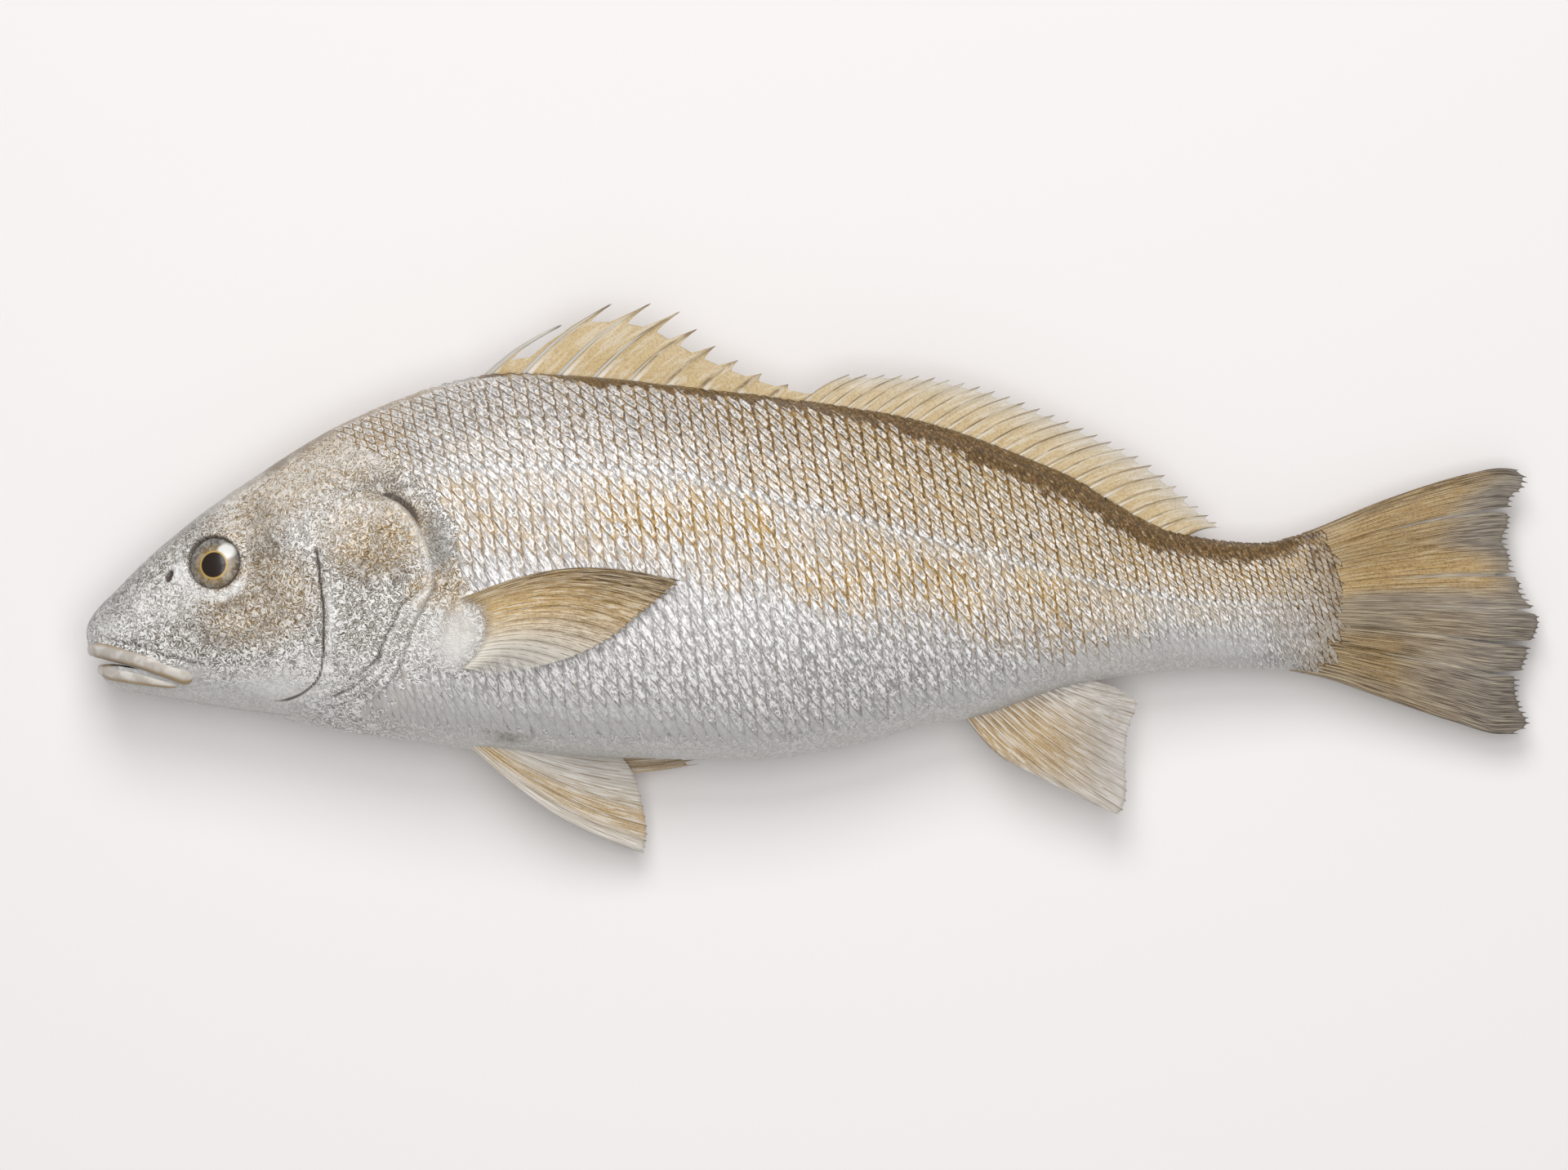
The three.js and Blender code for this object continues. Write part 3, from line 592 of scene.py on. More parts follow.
def skinFields(along, height):
    # amounts of each pigment, of painted shade and light, and of smoothness over the skin, from 0 to 1: the
    # forehead and the nape are golden, the cheek and the throat grey, the chin and the belly smooth, and the
    # back brown
    under, over = back(along) - height, height - belly(along)
    speck = softNoise(along, height, 5, 11)
    speckle = 1.3 * speck + 1.1 * softNoise(along, height, 2.1, 12)
    ridge = smooth(under + speckle, ridgeWide(along) * 1.55, ridgeWide(along) * 0.6) * smooth(along, 112, 124)
    ridge *= 1 - 0.4 * smooth(along + 3 * speck, 362, 384)
    ridge = most(ridge, lerp(0.45, 0.6, smooth(height, -20, 14)) * smooth(along + 3 * speck, 366, 384))
    # rim: a painted shade along the head's top outline, where the surface turns away from the light, laid on
    # as dim
    rim = smooth(under, 3.2, 1.2) * smooth(along, 112, 80)
    fields = dict(
        gold=most(smooth(under, 34, 12) * smooth(along, 28, 52), 0.2 * smooth(along, 8, 30)),
        brown=0.9 * ridge,
        plain=most(0.75 * smooth(height, -24, -36) * smooth(along, 84, 58), 0.4 * rim,
                   0.75 * smooth(over, 14, 3) * smooth(along, 70, 110),
                   0.8 * smooth(height, -25.5, -28.5) * smooth(along, 48, 32)),
        # light here is painted light that lifts the belly's shaded underside
        light=0.1 * smooth(over, 16, 4), dim=0.4 * rim, ridge=ridge, over=over)
    for key, spots in skinSpots.items():
        for amount, *spot in spots:
            fields[key] = most(fields[key], amount * patch(along, height, *spot))
    fields["gold"] *= smooth(height, -34, -16)
    return fields


def grooves(along, height):
    # the lines and plates of the head: how far each lifts the skin, with painted shade in its grooves and
    # painted highlights on its ridges
    toCheek, onCheek = lineField(cheekEdge, along, height)
    behind, front = np.maximum(-toCheek, 0), np.maximum(toCheek, 0)
    firm = smooth(onCheek, 0.02, 0.1) * smooth(onCheek, 0.66, 0.36)
    lower = smooth(onCheek, 0.4, 0.6)
    lift = 0.75 * firm * bell(front, 0, 7) * (toCheek >= 0)
    lift -= 0.85 * firm * bell(behind, 0.5, 0.9) * (toCheek < 0)
    lift += 0.35 * firm * bell(behind, 2.6, 1.1) * smooth(onCheek, 0.3, 0.4)
    lift -= 0.3 * (1 - firm) * smooth(onCheek, 1, 0.85) * bell(toCheek, 0, 0.9) * lower
    run = smooth(onCheek, 0.02, 0.1) * smooth(onCheek, 1, 0.86) * lerp(1.15, 1, lower)
    # painted shade in the cheek's groove, and a painted highlight on the ridge behind it
    seam = run * bell(toCheek, -0.35, 0.6)
    light = 0.9 * bell(behind, 2.4, 1.2) * smooth(onCheek, 0.15, 0.35) * smooth(onCheek, 0.66, 0.58)
    toSeam, onSeam = lineField(gillSeam, along, height)
    run = smooth(onSeam, 0, 0.08) * smooth(onSeam, 1, 0.55)
    lift += 0.3 * run * bell(np.maximum(toSeam, 0), 0, 4) * (toSeam >= 0)
    lift -= 0.45 * run * bell(toSeam, -0.5, 0.8)
    # painted shade in the gill seam's groove, and a painted highlight on the band beside it
    seam += 0.85 * run * bell(toSeam, -0.2, 0.65)
    light += 0.7 * run * bell(toSeam, -1.7, 0.8) * smooth(onSeam, 0.85, 0.6)
    # painted shade in the grooves of the jaw, the brow and the lip
    for line, depth, dark in ((jawSeam, 0.4, 0.5), (browSeam, 0.25, 0.55), (lipSeam, 0.5, 0.6)):
        to, on = lineField(line, along, height)
        run = smooth(on, 0, 0.1) * smooth(on, 1, 0.85) * bell(to, 0, 0.9)
        lift -= depth * run
        seam += dark * run
    # two folds of the gill membrane, side by side in front of its lower edge, with painted shade in them
    toEdge, onEdge = lineField(gill["edge"], along, height)
    low = smooth(onEdge, 0.66, 0.76) * smooth(onEdge, 0.97, 0.9)
    for offset in (3.4, 6.6):
        lift -= 0.35 * low * bell(toEdge, offset, 0.8)
        seam += 0.75 * low * bell(toEdge, offset, 0.6)
    return lift, seam, light, toEdge, onEdge


def freeEdge(onEdge):
    # 1 where the gill cover's edge is free, 0 where it grows into the nape and the throat
    start, end = gill["firm"]
    return smooth(onEdge, start, start + 0.04) * smooth(onEdge, end, end - 0.1)


def headForm(along, height):
    # how far the skin of the head stands off the flesh, and its pigments with painted shade and highlights
    lift, seam, light, toEdge, onEdge = grooves(along, height)
    fields = skinFields(along, height)
    free, upper = freeEdge(onEdge), smooth(onEdge, 0.66, 0.6)
    lift += gill["lift"] * free * bell(np.maximum(toEdge, 0), 0, gill["fall"]) * smooth(toEdge, 0, 0.5)
    lift -= 0.15 * free * bell(toEdge, 4, 1.1) * upper
    rim = free * bell(toEdge, 0, 3.6, 4) * upper
    # a ring round the eye's socket with painted shade in its crease, darker above, and a painted highlight:
    # the bright crescent below it
    behind, above = along - eye["at"][0], height - eye["at"][1]
    reach = np.hypot(behind, above)
    lift += 0.6 * bell(reach, 9.3, 1.5)
    lift -= 4 * smooth(reach, 8.3, 6.8)
    seam += bell(reach, 8.0, 0.8) * lerp(0.65, 0.85, smooth(above, -4, 5))
    light += 0.9 * bell(reach, 10.6, 1.5, 4) * smooth(above + 0.35 * behind, 1, -4)
    light += 0.8 * patch(along, height, (29.5, 1), (3.5, 3))
    # the nostril: a hollow with painted shade in it, and a painted highlight on its upper rim
    nostril = patch(along, height, (26, 0.8), (1.15, 2.3), -20, 0.35)
    lift += 0.35 * patch(along, height, (26, 0.8), (2, 3.2), -20, 0.3) - 1.5 * nostril
    seam += nostril
    light += 0.5 * patch(along, height, (26.6, 2.4), (2, 1.8))
    bumps = softNoise(along, height, 2.2, 3) + 0.6 * softNoise(along, height, 1.3, 4)
    lift += 0.13 * bumps * (1 - fields["plain"]) * (1 - rim) * smooth(reach, 9, 11)
    # the head ends below the body's skin: sharply at the free edge, softly over the nape and the throat
    sunk = (gill["under"] + gill["lift"] * free) * smooth(toEdge, 0, -lerp(5, 0.55, free))
    fields["plain"] = most(fields["plain"], 0.5 * rim)
    # a painted highlight along the gill cover's raised free edge
    fields["light"] = np.clip(most(fields["light"], light) + 0.12 * rim, 0, 1)
    fields["gold"] *= 1 - 0.3 * rim
    fields["seam"] = np.clip(seam, 0, 1)
    return np.where(toEdge < 0, lift - sunk, lift), fields


# where the skin ends on the tail fin: the height and half breadth of its round front, in mm, how far that
# bulges, and how far single streaks run on
tailRoot = dict(middle=-9, halfBreadth=20, bulge=8, streaks=6)


def tailReach(along, height):
    # how far back a point lies, as the skin's front on the tail sees it: the square of the way off its
    # middle, and soft noise drawn out along the rays
    offMiddle = np.clip((height - tailRoot["middle"]) / tailRoot["halfBreadth"], -1.2, 1.2)
    streaks = softNoise(along * 0.3, height, 1.3, 61)
    return along + tailRoot["bulge"] * (offMiddle**2 - 0.3) + tailRoot["streaks"] * streaks


def bodyForm(along, height):
    # how far the body's skin stands off the flesh: the fin's fleshy base, folds behind the gills, a low noise
    toEdge, onEdge = lineField(gill["edge"], along, height)
    fields = skinFields(along, height)
    free = freeEdge(onEdge)
    mound = patch(along, height, (115.5, -17), (6.5, 10), -14, 0.6)
    folds = patch(along, height, (113.5, -2), (6, 9), 0, 0.4)
    lumps = softNoise(along, height, 2.4, 21)
    lift = 0.9 * mound + 0.6 * folds * lumps
    lift += 0.14 * softNoise(along, height, 2.4, 22) * (1 - fields["plain"])
    # at the tail's root the skin runs out in streaks between the rays
    lift -= 2.4 * smooth(tailReach(along, height), 384, 392)
    lift -= 0.8 * free * bell(toEdge, -1.4, 1.6)
    lift = np.where(toEdge > -0.2, lift - gill["under"] * smooth(toEdge, -0.2, lerp(6, 1.6, free)), lift)
    slate = patch(along, height, (109, 11), (4.5, 9), 12)  # the bare skin behind the gill opening
    # under the scales the skin lies lower, and is plain
    toFront, _ = lineField(scaleFront, along, height)
    scaled = smooth(toFront, -2, -7) * most(smooth(fields["over"], 5, 11), smooth(along, 360, 375))
    lift -= 0.4 * scaled
    # painted shadow under the gill cover's notch and its free edge, in the pectoral fin's axil and in the
    # folds behind the gills
    notch = smooth(onEdge, 0.17, 0.22) * smooth(onEdge, 0.36, 0.3)
    seam = 0.9 * notch * bell(toEdge, -1.2, 1.6) + 0.45 * free * bell(toEdge, -0.3, 0.8)
    seam += 0.5 * patch(along, height, (119, -27), (4, 2.5)) + 0.35 * folds * smooth(lumps, 0, 0.6)
    glow = 0.05 * mound + 0.4 * patch(along, height, (106, -15), (3.5, 10), -15)
    fields["plain"] = most(np.clip(most(fields["plain"], 0.8 * mound + 0.2 * slate), 0, 1), 0.95 * scaled)
    fields["dim"] = most(fields["dim"], 0.6 * slate)
    fields["gold"] = most(fields["gold"] * (1 - 0.9 * scaled), 0.8 * folds)
    fields["brown"] = most(fields["brown"], 0.8 * patch(along, height, (131.5, -47.5), (7, 3.4)))
    fields["light"] = np.clip(fields["light"] + glow, 0, 1)
    fields["seam"] = np.clip(seam, 0, 1)
    return lift, fields


def skinLoft(name, alongs, around, form):
    # sections of the flesh carried along it, every point lifted along the normal by form(along, height)
    angle = np.linspace(0, 2 * pi, around, endpoint=False)[None]
    along = alongs[:, None]
    bare = onSection(along, angle)
    height = bare[..., 1]
    lift, fields = form(np.broadcast_to(along, height.shape), height)
    # at the ends, where the section shrinks to nothing, the lift dies out with it
    lift = lift * smooth(section(along)[1], 0.5, 6)
    points = lay(bare + outward(along, angle) * lift[..., None], np.clip(-lift, 0, gill["under"]))
    caps = np.broadcast_to(points.mean(1, keepdims=True), points.shape)
    grid = np.concatenate([caps[:1], points, caps[-1:]])
    fields = {key: np.concatenate([fields[key][:1], fields[key], fields[key][-1:]]) for key in skinFieldNames}
    return addPiece(name, grid, gridFaces(len(grid), around, wrapColumns=True), skinMaterial, fields=fields)


skins = dict(
    headEnd=126, headRows=208, headAround=424,
    crowding=1.22,  # power by which the head's sections crowd towards the snout
    bodyStart=60, finerEnd=136, finerStep=0.9,  # mm; the body is finer up to finerEnd, behind the gills
    bodyRows=124, bodyAround=300,
)
headAlongs = skins["headEnd"] * np.linspace(0, 1, skins["headRows"]) ** skins["crowding"]
head = skinLoft("head", headAlongs, skins["headAround"], headForm)
bodyAlongs = np.concatenate([
    np.arange(skins["bodyStart"], skins["finerEnd"], skins["finerStep"]),
    np.linspace(skins["finerEnd"], fish["fleshLength"], skins["bodyRows"])])
skinLoft("trunk", bodyAlongs, skins["bodyAround"], bodyForm)

# the open front of the mouth: a wedge right through both cheeks, narrowing towards the corner
mouth = dict(
    side=[(-2, -22.5), (4, -24.2), (10, -25.9), (17, -28.2), (10, -27.1), (5, -27.8), (-2, -29)],
    reach=40,
)


def openMouth():
    # the wedge's outline, drawn at both sides of the fish, is the mesh that is taken out of the head
    outline = np.array(mouth["side"], float)
    count = len(outline)
    points = np.concatenate([
        np.column_stack([outline, np.full(count, side)]) for side in (-mouth["reach"], mouth["reach"])])
    points += (-fish["totalLength"] / 2, 0, fish["midPlaneHeight"])
    i = np.arange(count)
    sides = np.stack([i, (i + 1) % count, (i + 1) % count + count, i + count], -1).tolist()
    # the wedge's cut faces carry painted shade into the open mouth
    fields = {key: np.full(len(points), float(key in ("seam", "plain"))) for key in skinFieldNames}
    wedge = newObject("mouthWedge", newMesh(
        "mouthWedge", points, sides + [i[::-1].tolist(), (i + count).tolist()], fields))
    cut = head.modifiers.new("openMouth", "BOOLEAN")
    cut.operation, cut.solver, cut.object = "DIFFERENCE", "EXACT", wedge
    depsgraph = bpy.context.evaluated_depsgraph_get()
    result = bpy.data.meshes.new_from_object(head.evaluated_get(depsgraph))
    head.modifiers.clear()
    head.data = result
    bpy.data.objects.remove(wedge)
    print(f"mouth cut: {len(result.polygons)} faces")


openMouth()

lips = dict(  # each course: (along, height, half height of the lip)
    upper=[(1.6, -22, 2.1), (5, -22.3, 2.6), (9, -23.1, 2.7), (17.7, -25.4, 2.7), (26, -28.3, 2.7),
           (31, -29.7, 3.2), (34, -30.2, 3.5)],
    lower=[(4.3, -28.3, 1.5), (8, -29.1, 2.5), (12.5, -29.8, 2.6), (17.7, -30.8, 2.3), (23, -32, 1.7),
           (29, -33.2, 0.9)],
    depth=0.62,  # half depth of a lip as a share of its half height
    seat=0.35,  # share of its half height that is sunk into the jaw
    closing=(0.945, 0.055),  # each end closes from this share of the course on, over that share
    steps=181, around=28,
)


def addLip(name, course, innerEdge):
    # a bead round the front of a jaw, cheek to cheek: a circle carried along the course, closed at its ends
    height, radius = (through([(at[0], at[axis]) for at in course]) for axis in (1, 2))
    front, rear = course[0][0], course[-1][0]

    def centre(place):
        along = lerp(front, rear, place**2)
        sideways = np.maximum(flank(along, height(along)) - radius(along) * lips["seat"], 0)
        sideways = np.sign(place) * sideways * np.minimum(np.abs(place) * 4, 1)
        return np.stack([along, height(along), sideways], -1)

    place = np.linspace(-1, 1, lips["steps"])
    tangent = centre(place + 0.01) - centre(place - 0.01)
    tangent /= np.linalg.norm(tangent, axis=-1, keepdims=True)
    across = np.cross(tangent, (0, 1, 0))
    across /= np.linalg.norm(across, axis=-1, keepdims=True)
    rise = np.cross(across, tangent)
    pastEnd = np.maximum(np.abs(place) - lips["closing"][0], 0) / lips["closing"][1]
    middle = centre(place)
    size = radius(middle[:, 0]) * np.sqrt(np.maximum(1 - pastEnd**2, 0))
    angle = np.linspace(0, 2 * pi, lips["around"], endpoint=False)[None, :, None]
    ring = lips["depth"] * np.cos(angle) * across[:, None] + np.sin(angle) * rise[:, None]
    points = lay(middle[:, None] + size[:, None, None] * ring)
    up = np.broadcast_to(np.sin(angle)[..., 0], ring.shape[:2])
    away = np.abs(place)[:, None]
    rim = 0.8 * smooth(np.abs(up), 0.35, 0.8) + 0.2 * smooth(away, 0.55, 1)
    # painted shade on the side that faces into the open mouth
    inside = smooth(up * innerEdge, 0.75, 0.98) * smooth(away, 0.95, 0.6)
    return addPiece(name, points, gridFaces(*ring.shape[:2], wrapColumns=True), lipMaterial,
                    fields=dict(rim=np.clip(rim, 0, 1), mouth=0.8 * inside))


addLip("upperLip", lips["upper"], -1)
addLip("lowerLip", lips["lower"], 1)


def addEye(name, side):
    # a lens, wider than deep, that looks out square to the cheek: rings from its middle to its rim and back
    along, height = eye["at"]
    slopeAlong = (flank(along + 1, height) - flank(along - 1, height)) / 2
    slopeUp = (flank(along, height + 1) - flank(along, height - 1)) / 2
    out = np.array([-slopeAlong, -slopeUp, side])
    out /= np.linalg.norm(out)
    tailwards = np.array([1, 0, 0]) - out[0] * out
    tailwards /= np.linalg.norm(tailwards)
    upwards = np.cross(out, tailwards) * side
    turn = np.linspace(0, pi, eye["rings"])[:, None]
    around = np.linspace(0, 2 * pi, eye["around"], endpoint=False)[None]
    x, y, z = np.broadcast_arrays(np.sin(turn) * np.cos(around), np.sin(turn) * np.sin(around), np.cos(turn))
    local = eye["radius"] * (x[..., None] * tailwards + y[..., None] * upwards)
    local = local + eye["halfDepth"] * z[..., None] * out
    at = lay(np.array([along, height, side * flank(along, height)])) - eye["sunk"] * out
    addPiece(name, at + local, gridFaces(*x.shape, wrapColumns=True), eyeMaterial,
             node="eye_" + name[3:].lower(), uv=np.stack([x, y], -1))


addEye("eyeLeft", 1)
addEye("eyeRight", -1)
print("head finished")

scales = dict(
    pitch=4.2,  # mm between columns
    rowAbove=3.4, rowBelow=5.5,  # mm between rows above the lateral line, and well below it
    slant=0.6,  # every row starts this much further back than the one above it
    first=66, last=397, above=14, below=22,
    tailFront=388,  # mm, the mean reach of the scales on to the tail fin
    thickness=0.14, rise=0.14,  # the free edge stands this proud of the skin
    overlap=0.45,  # a scale reaches this share of a cell below those in front of it
    wander=0.06,  # share of a cell by which a scale strays from its place
    mix=(0.8, 0.2),  # shares of height and of length over the skin in a row's level
)
columnSize = through([
    (70, 0.56), (90, 0.66), (112, 0.88), (130, 0.98), (250, 1), (300, 0.9), (340, 0.68), (372, 0.56),
    (400, 0.42)])
rowSize = through([
    (70, 0.7), (90, 0.8), (120, 0.98), (150, 1.06), (200, 1), (250, 0.92), (290, 0.8), (345, 0.66),
    (400, 0.6)])


def rowLevel(row):
    # level of a row over the lateral line: even steps above it, and steps that grow with depth below it
    down = np.maximum(-row, 0)
    grown = (scales["rowBelow"] - scales["rowAbove"]) * (down - 3 * (1 - np.exp(-down / 3)))
    return scales["rowAbove"] * row - grown


def flankChart():
    # where the rows run: a coordinate up from the lateral line that mixes height with length over the skin
    gap = 2.0
    stations = np.arange(60, 402, gap)
    angles = np.linspace(0, pi, 361)
    points = onSection(stations[:, None], angles[None])
    steps = np.linalg.norm(np.diff(points, axis=1), axis=-1)
    arc = np.concatenate([np.zeros((len(stations), 1)), steps.cumsum(1)], 1)
    heights = points[..., 1]
    levels = np.arange(-110, 80, 1.0)
    table = np.empty((len(stations), len(levels)))
    top, bottom = np.empty(len(stations)), np.empty(len(stations))
    byHeight, bySkin = scales["mix"]
    for i, line in enumerate(lateral(stations)):
        arcAtLine = np.interp(-line, -heights[i], arc[i])
        level = byHeight * (heights[i] - line) + bySkin * (arcAtLine - arc[i])
        table[i] = np.interp(-levels, -level, angles)
        top[i], bottom[i] = level[0], level[-1]

    def angleAt(along, level):
        x = np.clip((along - stations[0]) / gap, 0, len(stations) - 1.001)
        y = np.clip(level - levels[0], 0, len(levels) - 1.001)
        i, j = x.astype(int), y.astype(int)
        near = lerp(table[i, j], table[i, j + 1], y - j)
        return lerp(near, lerp(table[i + 1, j], table[i + 1, j + 1], y - j), x - i)

    return angleAt, lambda along: (np.interp(along, stations, top), np.interp(along, stations, bottom))


angleAt, levelEnds = flankChart()


def addScales(name, side, seed):
    # overlapping plates on a slanting lattice: each is a diamond whose free edges meet in a tip behind and
    # below, and whose front dips under its neighbours. wide and rearwards run across and along it, -1 to 1
    fine = np.linspace(scales["first"], scales["last"] + 12, 2000)
    steps = np.concatenate([[0], np.cumsum(np.diff(fine) / (scales["pitch"] * columnSize(fine[:-1])))])

    def place(column, row):
        return np.interp(column, steps, fine) - scales["slant"] * row

    columns, rows = np.arange(-8, int(steps[-1]) + 8), np.arange(-scales["below"], scales["above"])
    k, j = (numbers.ravel() for numbers in np.meshgrid(columns, rows, indexing="ij"))
    random = np.random.default_rng(seed)
    k = k + random.uniform(-scales["wander"], scales["wander"], len(k))
    row = j + random.uniform(-scales["wander"], scales["wander"], len(k))
    along = place(k, row)
    level = rowLevel(row) * rowSize(along)
    topLevel, bottomLevel = levelEnds(along)
    height = onSection(along, angleAt(along, level))[..., 1]
    toFront, _ = lineField(scaleFront, along, height)
    skin = skinFields(along, height)
    reach = tailReach(along, height)
    # proud is how far a scale stands up: less at the fronts, on the belly, on the dark back and at the tail
    onBelly = smooth(skin["over"], 3 * smooth(along, 360, 300), 10 * smooth(along, 380, 300) + 0.5)
    proud = smooth(toFront, 0.5, -2.5) * onBelly * smooth(along, scales["last"] + 4, scales["last"] - 12)
    proud *= 1 - 0.9 * smooth(skin["ridge"], 0.6, 0.95)
    proud *= 1 - 0.75 * smooth(reach, 366, 384)
    keep = (level < topLevel - 1.2) & (level > bottomLevel + 2) & (proud > 0.05)
    keep &= (along > scales["first"]) & (reach < scales["tailFront"])
    along, proud, j, k, row = along[keep], proud[keep], j[keep], k[keep], row[keep]
    count = len(along)

    wide = np.array([-1.2, -0.88, -0.45, 0, 0.45, 0.88, 1.2])[None, :, None]
    rear = 1 - np.abs(wide) + 0.09 - 0.12 * bell(wide, 0, 0.2)
    front = -(1 - np.minimum(np.abs(wide), 1)) - scales["overlap"]
    # round the plate: front, top face, free edge, back
    share = np.array([0, 0, 0.19, 0.55, 0.9, 1, 1])[None, None]
    tip = np.abs(wide) > 1.1
    rearwards = np.where(tip, -0.15, lerp(front, rear, share))
    isInner = np.array([1, 0, 0, 0, 0, 0, 1])[None, None]
    rows = row[:, None, None] - rearwards
    p = place(k[:, None, None] + 0.5 * (wide + rearwards), rows)
    angle = angleAt(p, rowLevel(rows) * rowSize(p))
    rise = np.interp(share, [0, 0.19, 1], [-0.25, 0.05, scales["rise"]])
    rise = rise * proud[:, None, None] - 0.1 * (1 - proud[:, None, None])
    lift = np.maximum(np.where(tip, -0.2, rise - isInner * scales["thickness"]), -0.5)
    points = onSection(p, angle)
    ends = points[..., 1].copy()
    points = points + outward(p, angle) * lift[..., None]
    points[..., 2] *= side
    floor = 0.02 + 0.25 * (1 - share) + isInner * scales["thickness"]
    points = lay(points, np.where(tip, 0.25, floor))

    rowCount, columnCount = wide.size, share.size
    plate = rowCount * columnCount
    faces = repeated(gridFaces(rowCount, columnCount, wrapColumns=True), count, plate)
    uv = np.stack(np.broadcast_arrays(wide, rearwards), -1)
    uv = np.broadcast_to(uv, (count, rowCount, columnCount, 2))
    height = onSection(along, angleAt(along, rowLevel(row) * rowSize(along)))[:, 1]
    fields = pigments(along, height, j, random)
    over = height - belly(along) + 1.5 * softNoise(along, height, 6, 35)
    inFront = smooth(along, 230, 160)
    fade = np.clip((lerp(14, 22, inFront) - over) / lerp(8, 12, inFront), 0, 0.85)
    fields["fade"] = fade * smooth(along, 372, 350)
    fields = {key: np.repeat(values, plate) for key, values in fields.items()}
    fields["ridge"] = skinFields(p, ends)["ridge"].ravel()
    return addPiece(name, points, faces, scaleMaterial, fields=fields, uv=uv, crease=50)


alongGold, alongBrown, alongNet, alongWarm = map(through, (
    [(0, 0.3), (100, 0.65), (150, 0.72), (185, 0.95), (290, 1), (320, 0.75), (345, 0.4), (365, 0.2),
     (400, 0.1)],
    [(0, 0.25), (100, 0.3), (130, 0.5), (180, 0.8), (220, 0.95), (300, 0.85), (400, 0.8)],
    [(0, 0.02), (110, 0), (160, 0), (200, 0.08), (250, 0.16), (400, 0.14)],
    [(0, 0.5), (105, 0.15), (140, 0.05), (200, 0.12), (235, 0.5), (300, 0.85), (345, 0.6), (400, 0.5)]))


def pigments(along, height, row, random):
    # how golden, brown or grey a scale is, by where it sits above or below the lateral line
    below = lateral(along) - height
    cloud, cloud2 = (softNoise(along, height, cell, seed) for cell, seed in ((14, 31), (9, 32)))
    golden = smooth(below, -1, 5) * smooth(below + 5 * cloud, 36, 20)
    golden *= 1 - smooth(along, 300, 345) * smooth(below, 2, 9)
    gold = most(
        np.clip(golden * alongGold(along) * (0.9 + 0.4 * cloud2), 0, 1), 0.75 * smooth(along, 112, 90),
        lerp(0.3, 0.85, smooth(along, 140, 270)) * smooth(below, 2, -6))
    root = smooth(along + 4 * cloud2, 350, 380)
    nearBack = smooth(back(along) - height, 17, 6) * smooth(along, 130, 220)
    brown = most(smooth(below, 3, -3) * alongBrown(along), 0.65 * root * smooth(below, 10, -4), nearBack)
    band = 0.12 * golden * alongGold(along) * (0.9 + 0.6 * cloud2) + brown * alongNet(along) + 0.14 * nearBack
    grey = lerp(0.3, 0.75, smooth(along, 170, 270)) * smooth(below, 14, 40) + 0.2 * smooth(below, 0, 10)
    grey = grey + 0.6 * smooth(along, 310, 370) * smooth(below, -12, 8)
    grey = most(grey, 0.9 * smooth(height - belly(along), 20, 8))
    fleck = smooth(below + 5 * cloud, 20, 34) * random.uniform(0.25, 1, len(along))
    warm = alongWarm(along) * smooth(below, 30, 2) * (0.85 + 0.4 * cloud2)
    pick = random.uniform(0.2, 1, len(along)) * smooth(below, 40, 24)
    return dict(gold=gold, brown=brown, band=np.clip(band, 0, 0.4), grey=np.clip(grey, 0, 1), fleck=fleck,
                warm=np.clip(warm, 0, 1), pick=pick, midline=0.6 * (row == 0) * (1 - root),
                dull=0.75 * smooth(along + 5 * cloud2, 362, 388))


addScales("scalesLeft", 1, 41)
addScales("scalesRight", -1, 42)
print("scales laid")


def scalloped(place, rays, depth):
    # 1 at each ray's tip and lower between the tips
    between = place * (rays - 1) - np.floor(place * (rays - 1) + 1e-9)
    return 1 - depth * np.minimum(1, 4 * between * (1 - between) * 1.4)


def addFin(name, point, rays, thickness, pigment, material=finMaterial, perRay=8, rows=36, ray=0.35,
           wave=0.25):
    # a thin closed plate: point(across, out) with its wall to both sides, thicker along each ray, the web
    # between the rays sagging a little from side to side, and nothing left at its front and rear edges
    across = np.linspace(0, 1, (rays - 1) * perRay + 1)[None]
    out = np.linspace(0, 1, rows)[:, None]
    flat = lay(np.stack(np.broadcast_arrays(*point(across + 0 * out, out + 0 * across)), -1))
    turn = across * (rays - 1)
    distance = np.abs(turn - np.round(turn))
    branch = bell(distance, 0.5, 0.1) * smooth(out, 0.45, 0.8) * 0.6
    half = (thickness(across, out) + ray * (bell(distance, 0, 0.17) + branch) * lerp(1, 0.45, out)) / 2
    half = half * smooth(across, 0, 0.012) * smooth(across, 1, 0.988)
    sag = wave * np.sin(pi * turn) * smooth(out, 0, 0.5)
    z = np.maximum(flat[..., 2] + sag, half)
    upper, lower = (np.concatenate([flat[..., :2], (z + way * half)[..., None]], -1) for way in (1, -1))
    points = np.concatenate([upper, lower[::-1]])
    plan = np.stack(np.broadcast_arrays(turn, out), -1)
    fields = {key: values + 0 * out * across for key, values in pigment(across, out).items()}
    both = {key: np.concatenate([values, values[::-1]]) for key, values in fields.items()}
    return addPiece(name, points, gridFaces(*points.shape[:2], wrapRows=True), material, fields=both,
                    uv=np.concatenate([plan, plan[::-1]]))


spinyFin = dict(
    first=122.9, spacing=10.9, lengths=[28.8, 36, 37.4, 34.8, 27.6, 21, 16, 11.4, 8, 6],
    lean=through([(0, 33.5), (1, 37.5), (3, 36.5), (5, 35.5), (9, 30)]),  # degrees over the back
    web=0.3,  # share of a spine's length that stands clear of the web
    tear=0.45,  # the web behind the first spine is cut this much deeper
    arch=0.05,
)
finSeat = 1.5  # mm, how deep the dorsal fins are rooted in the back
spineCount = len(spinyFin["lengths"])


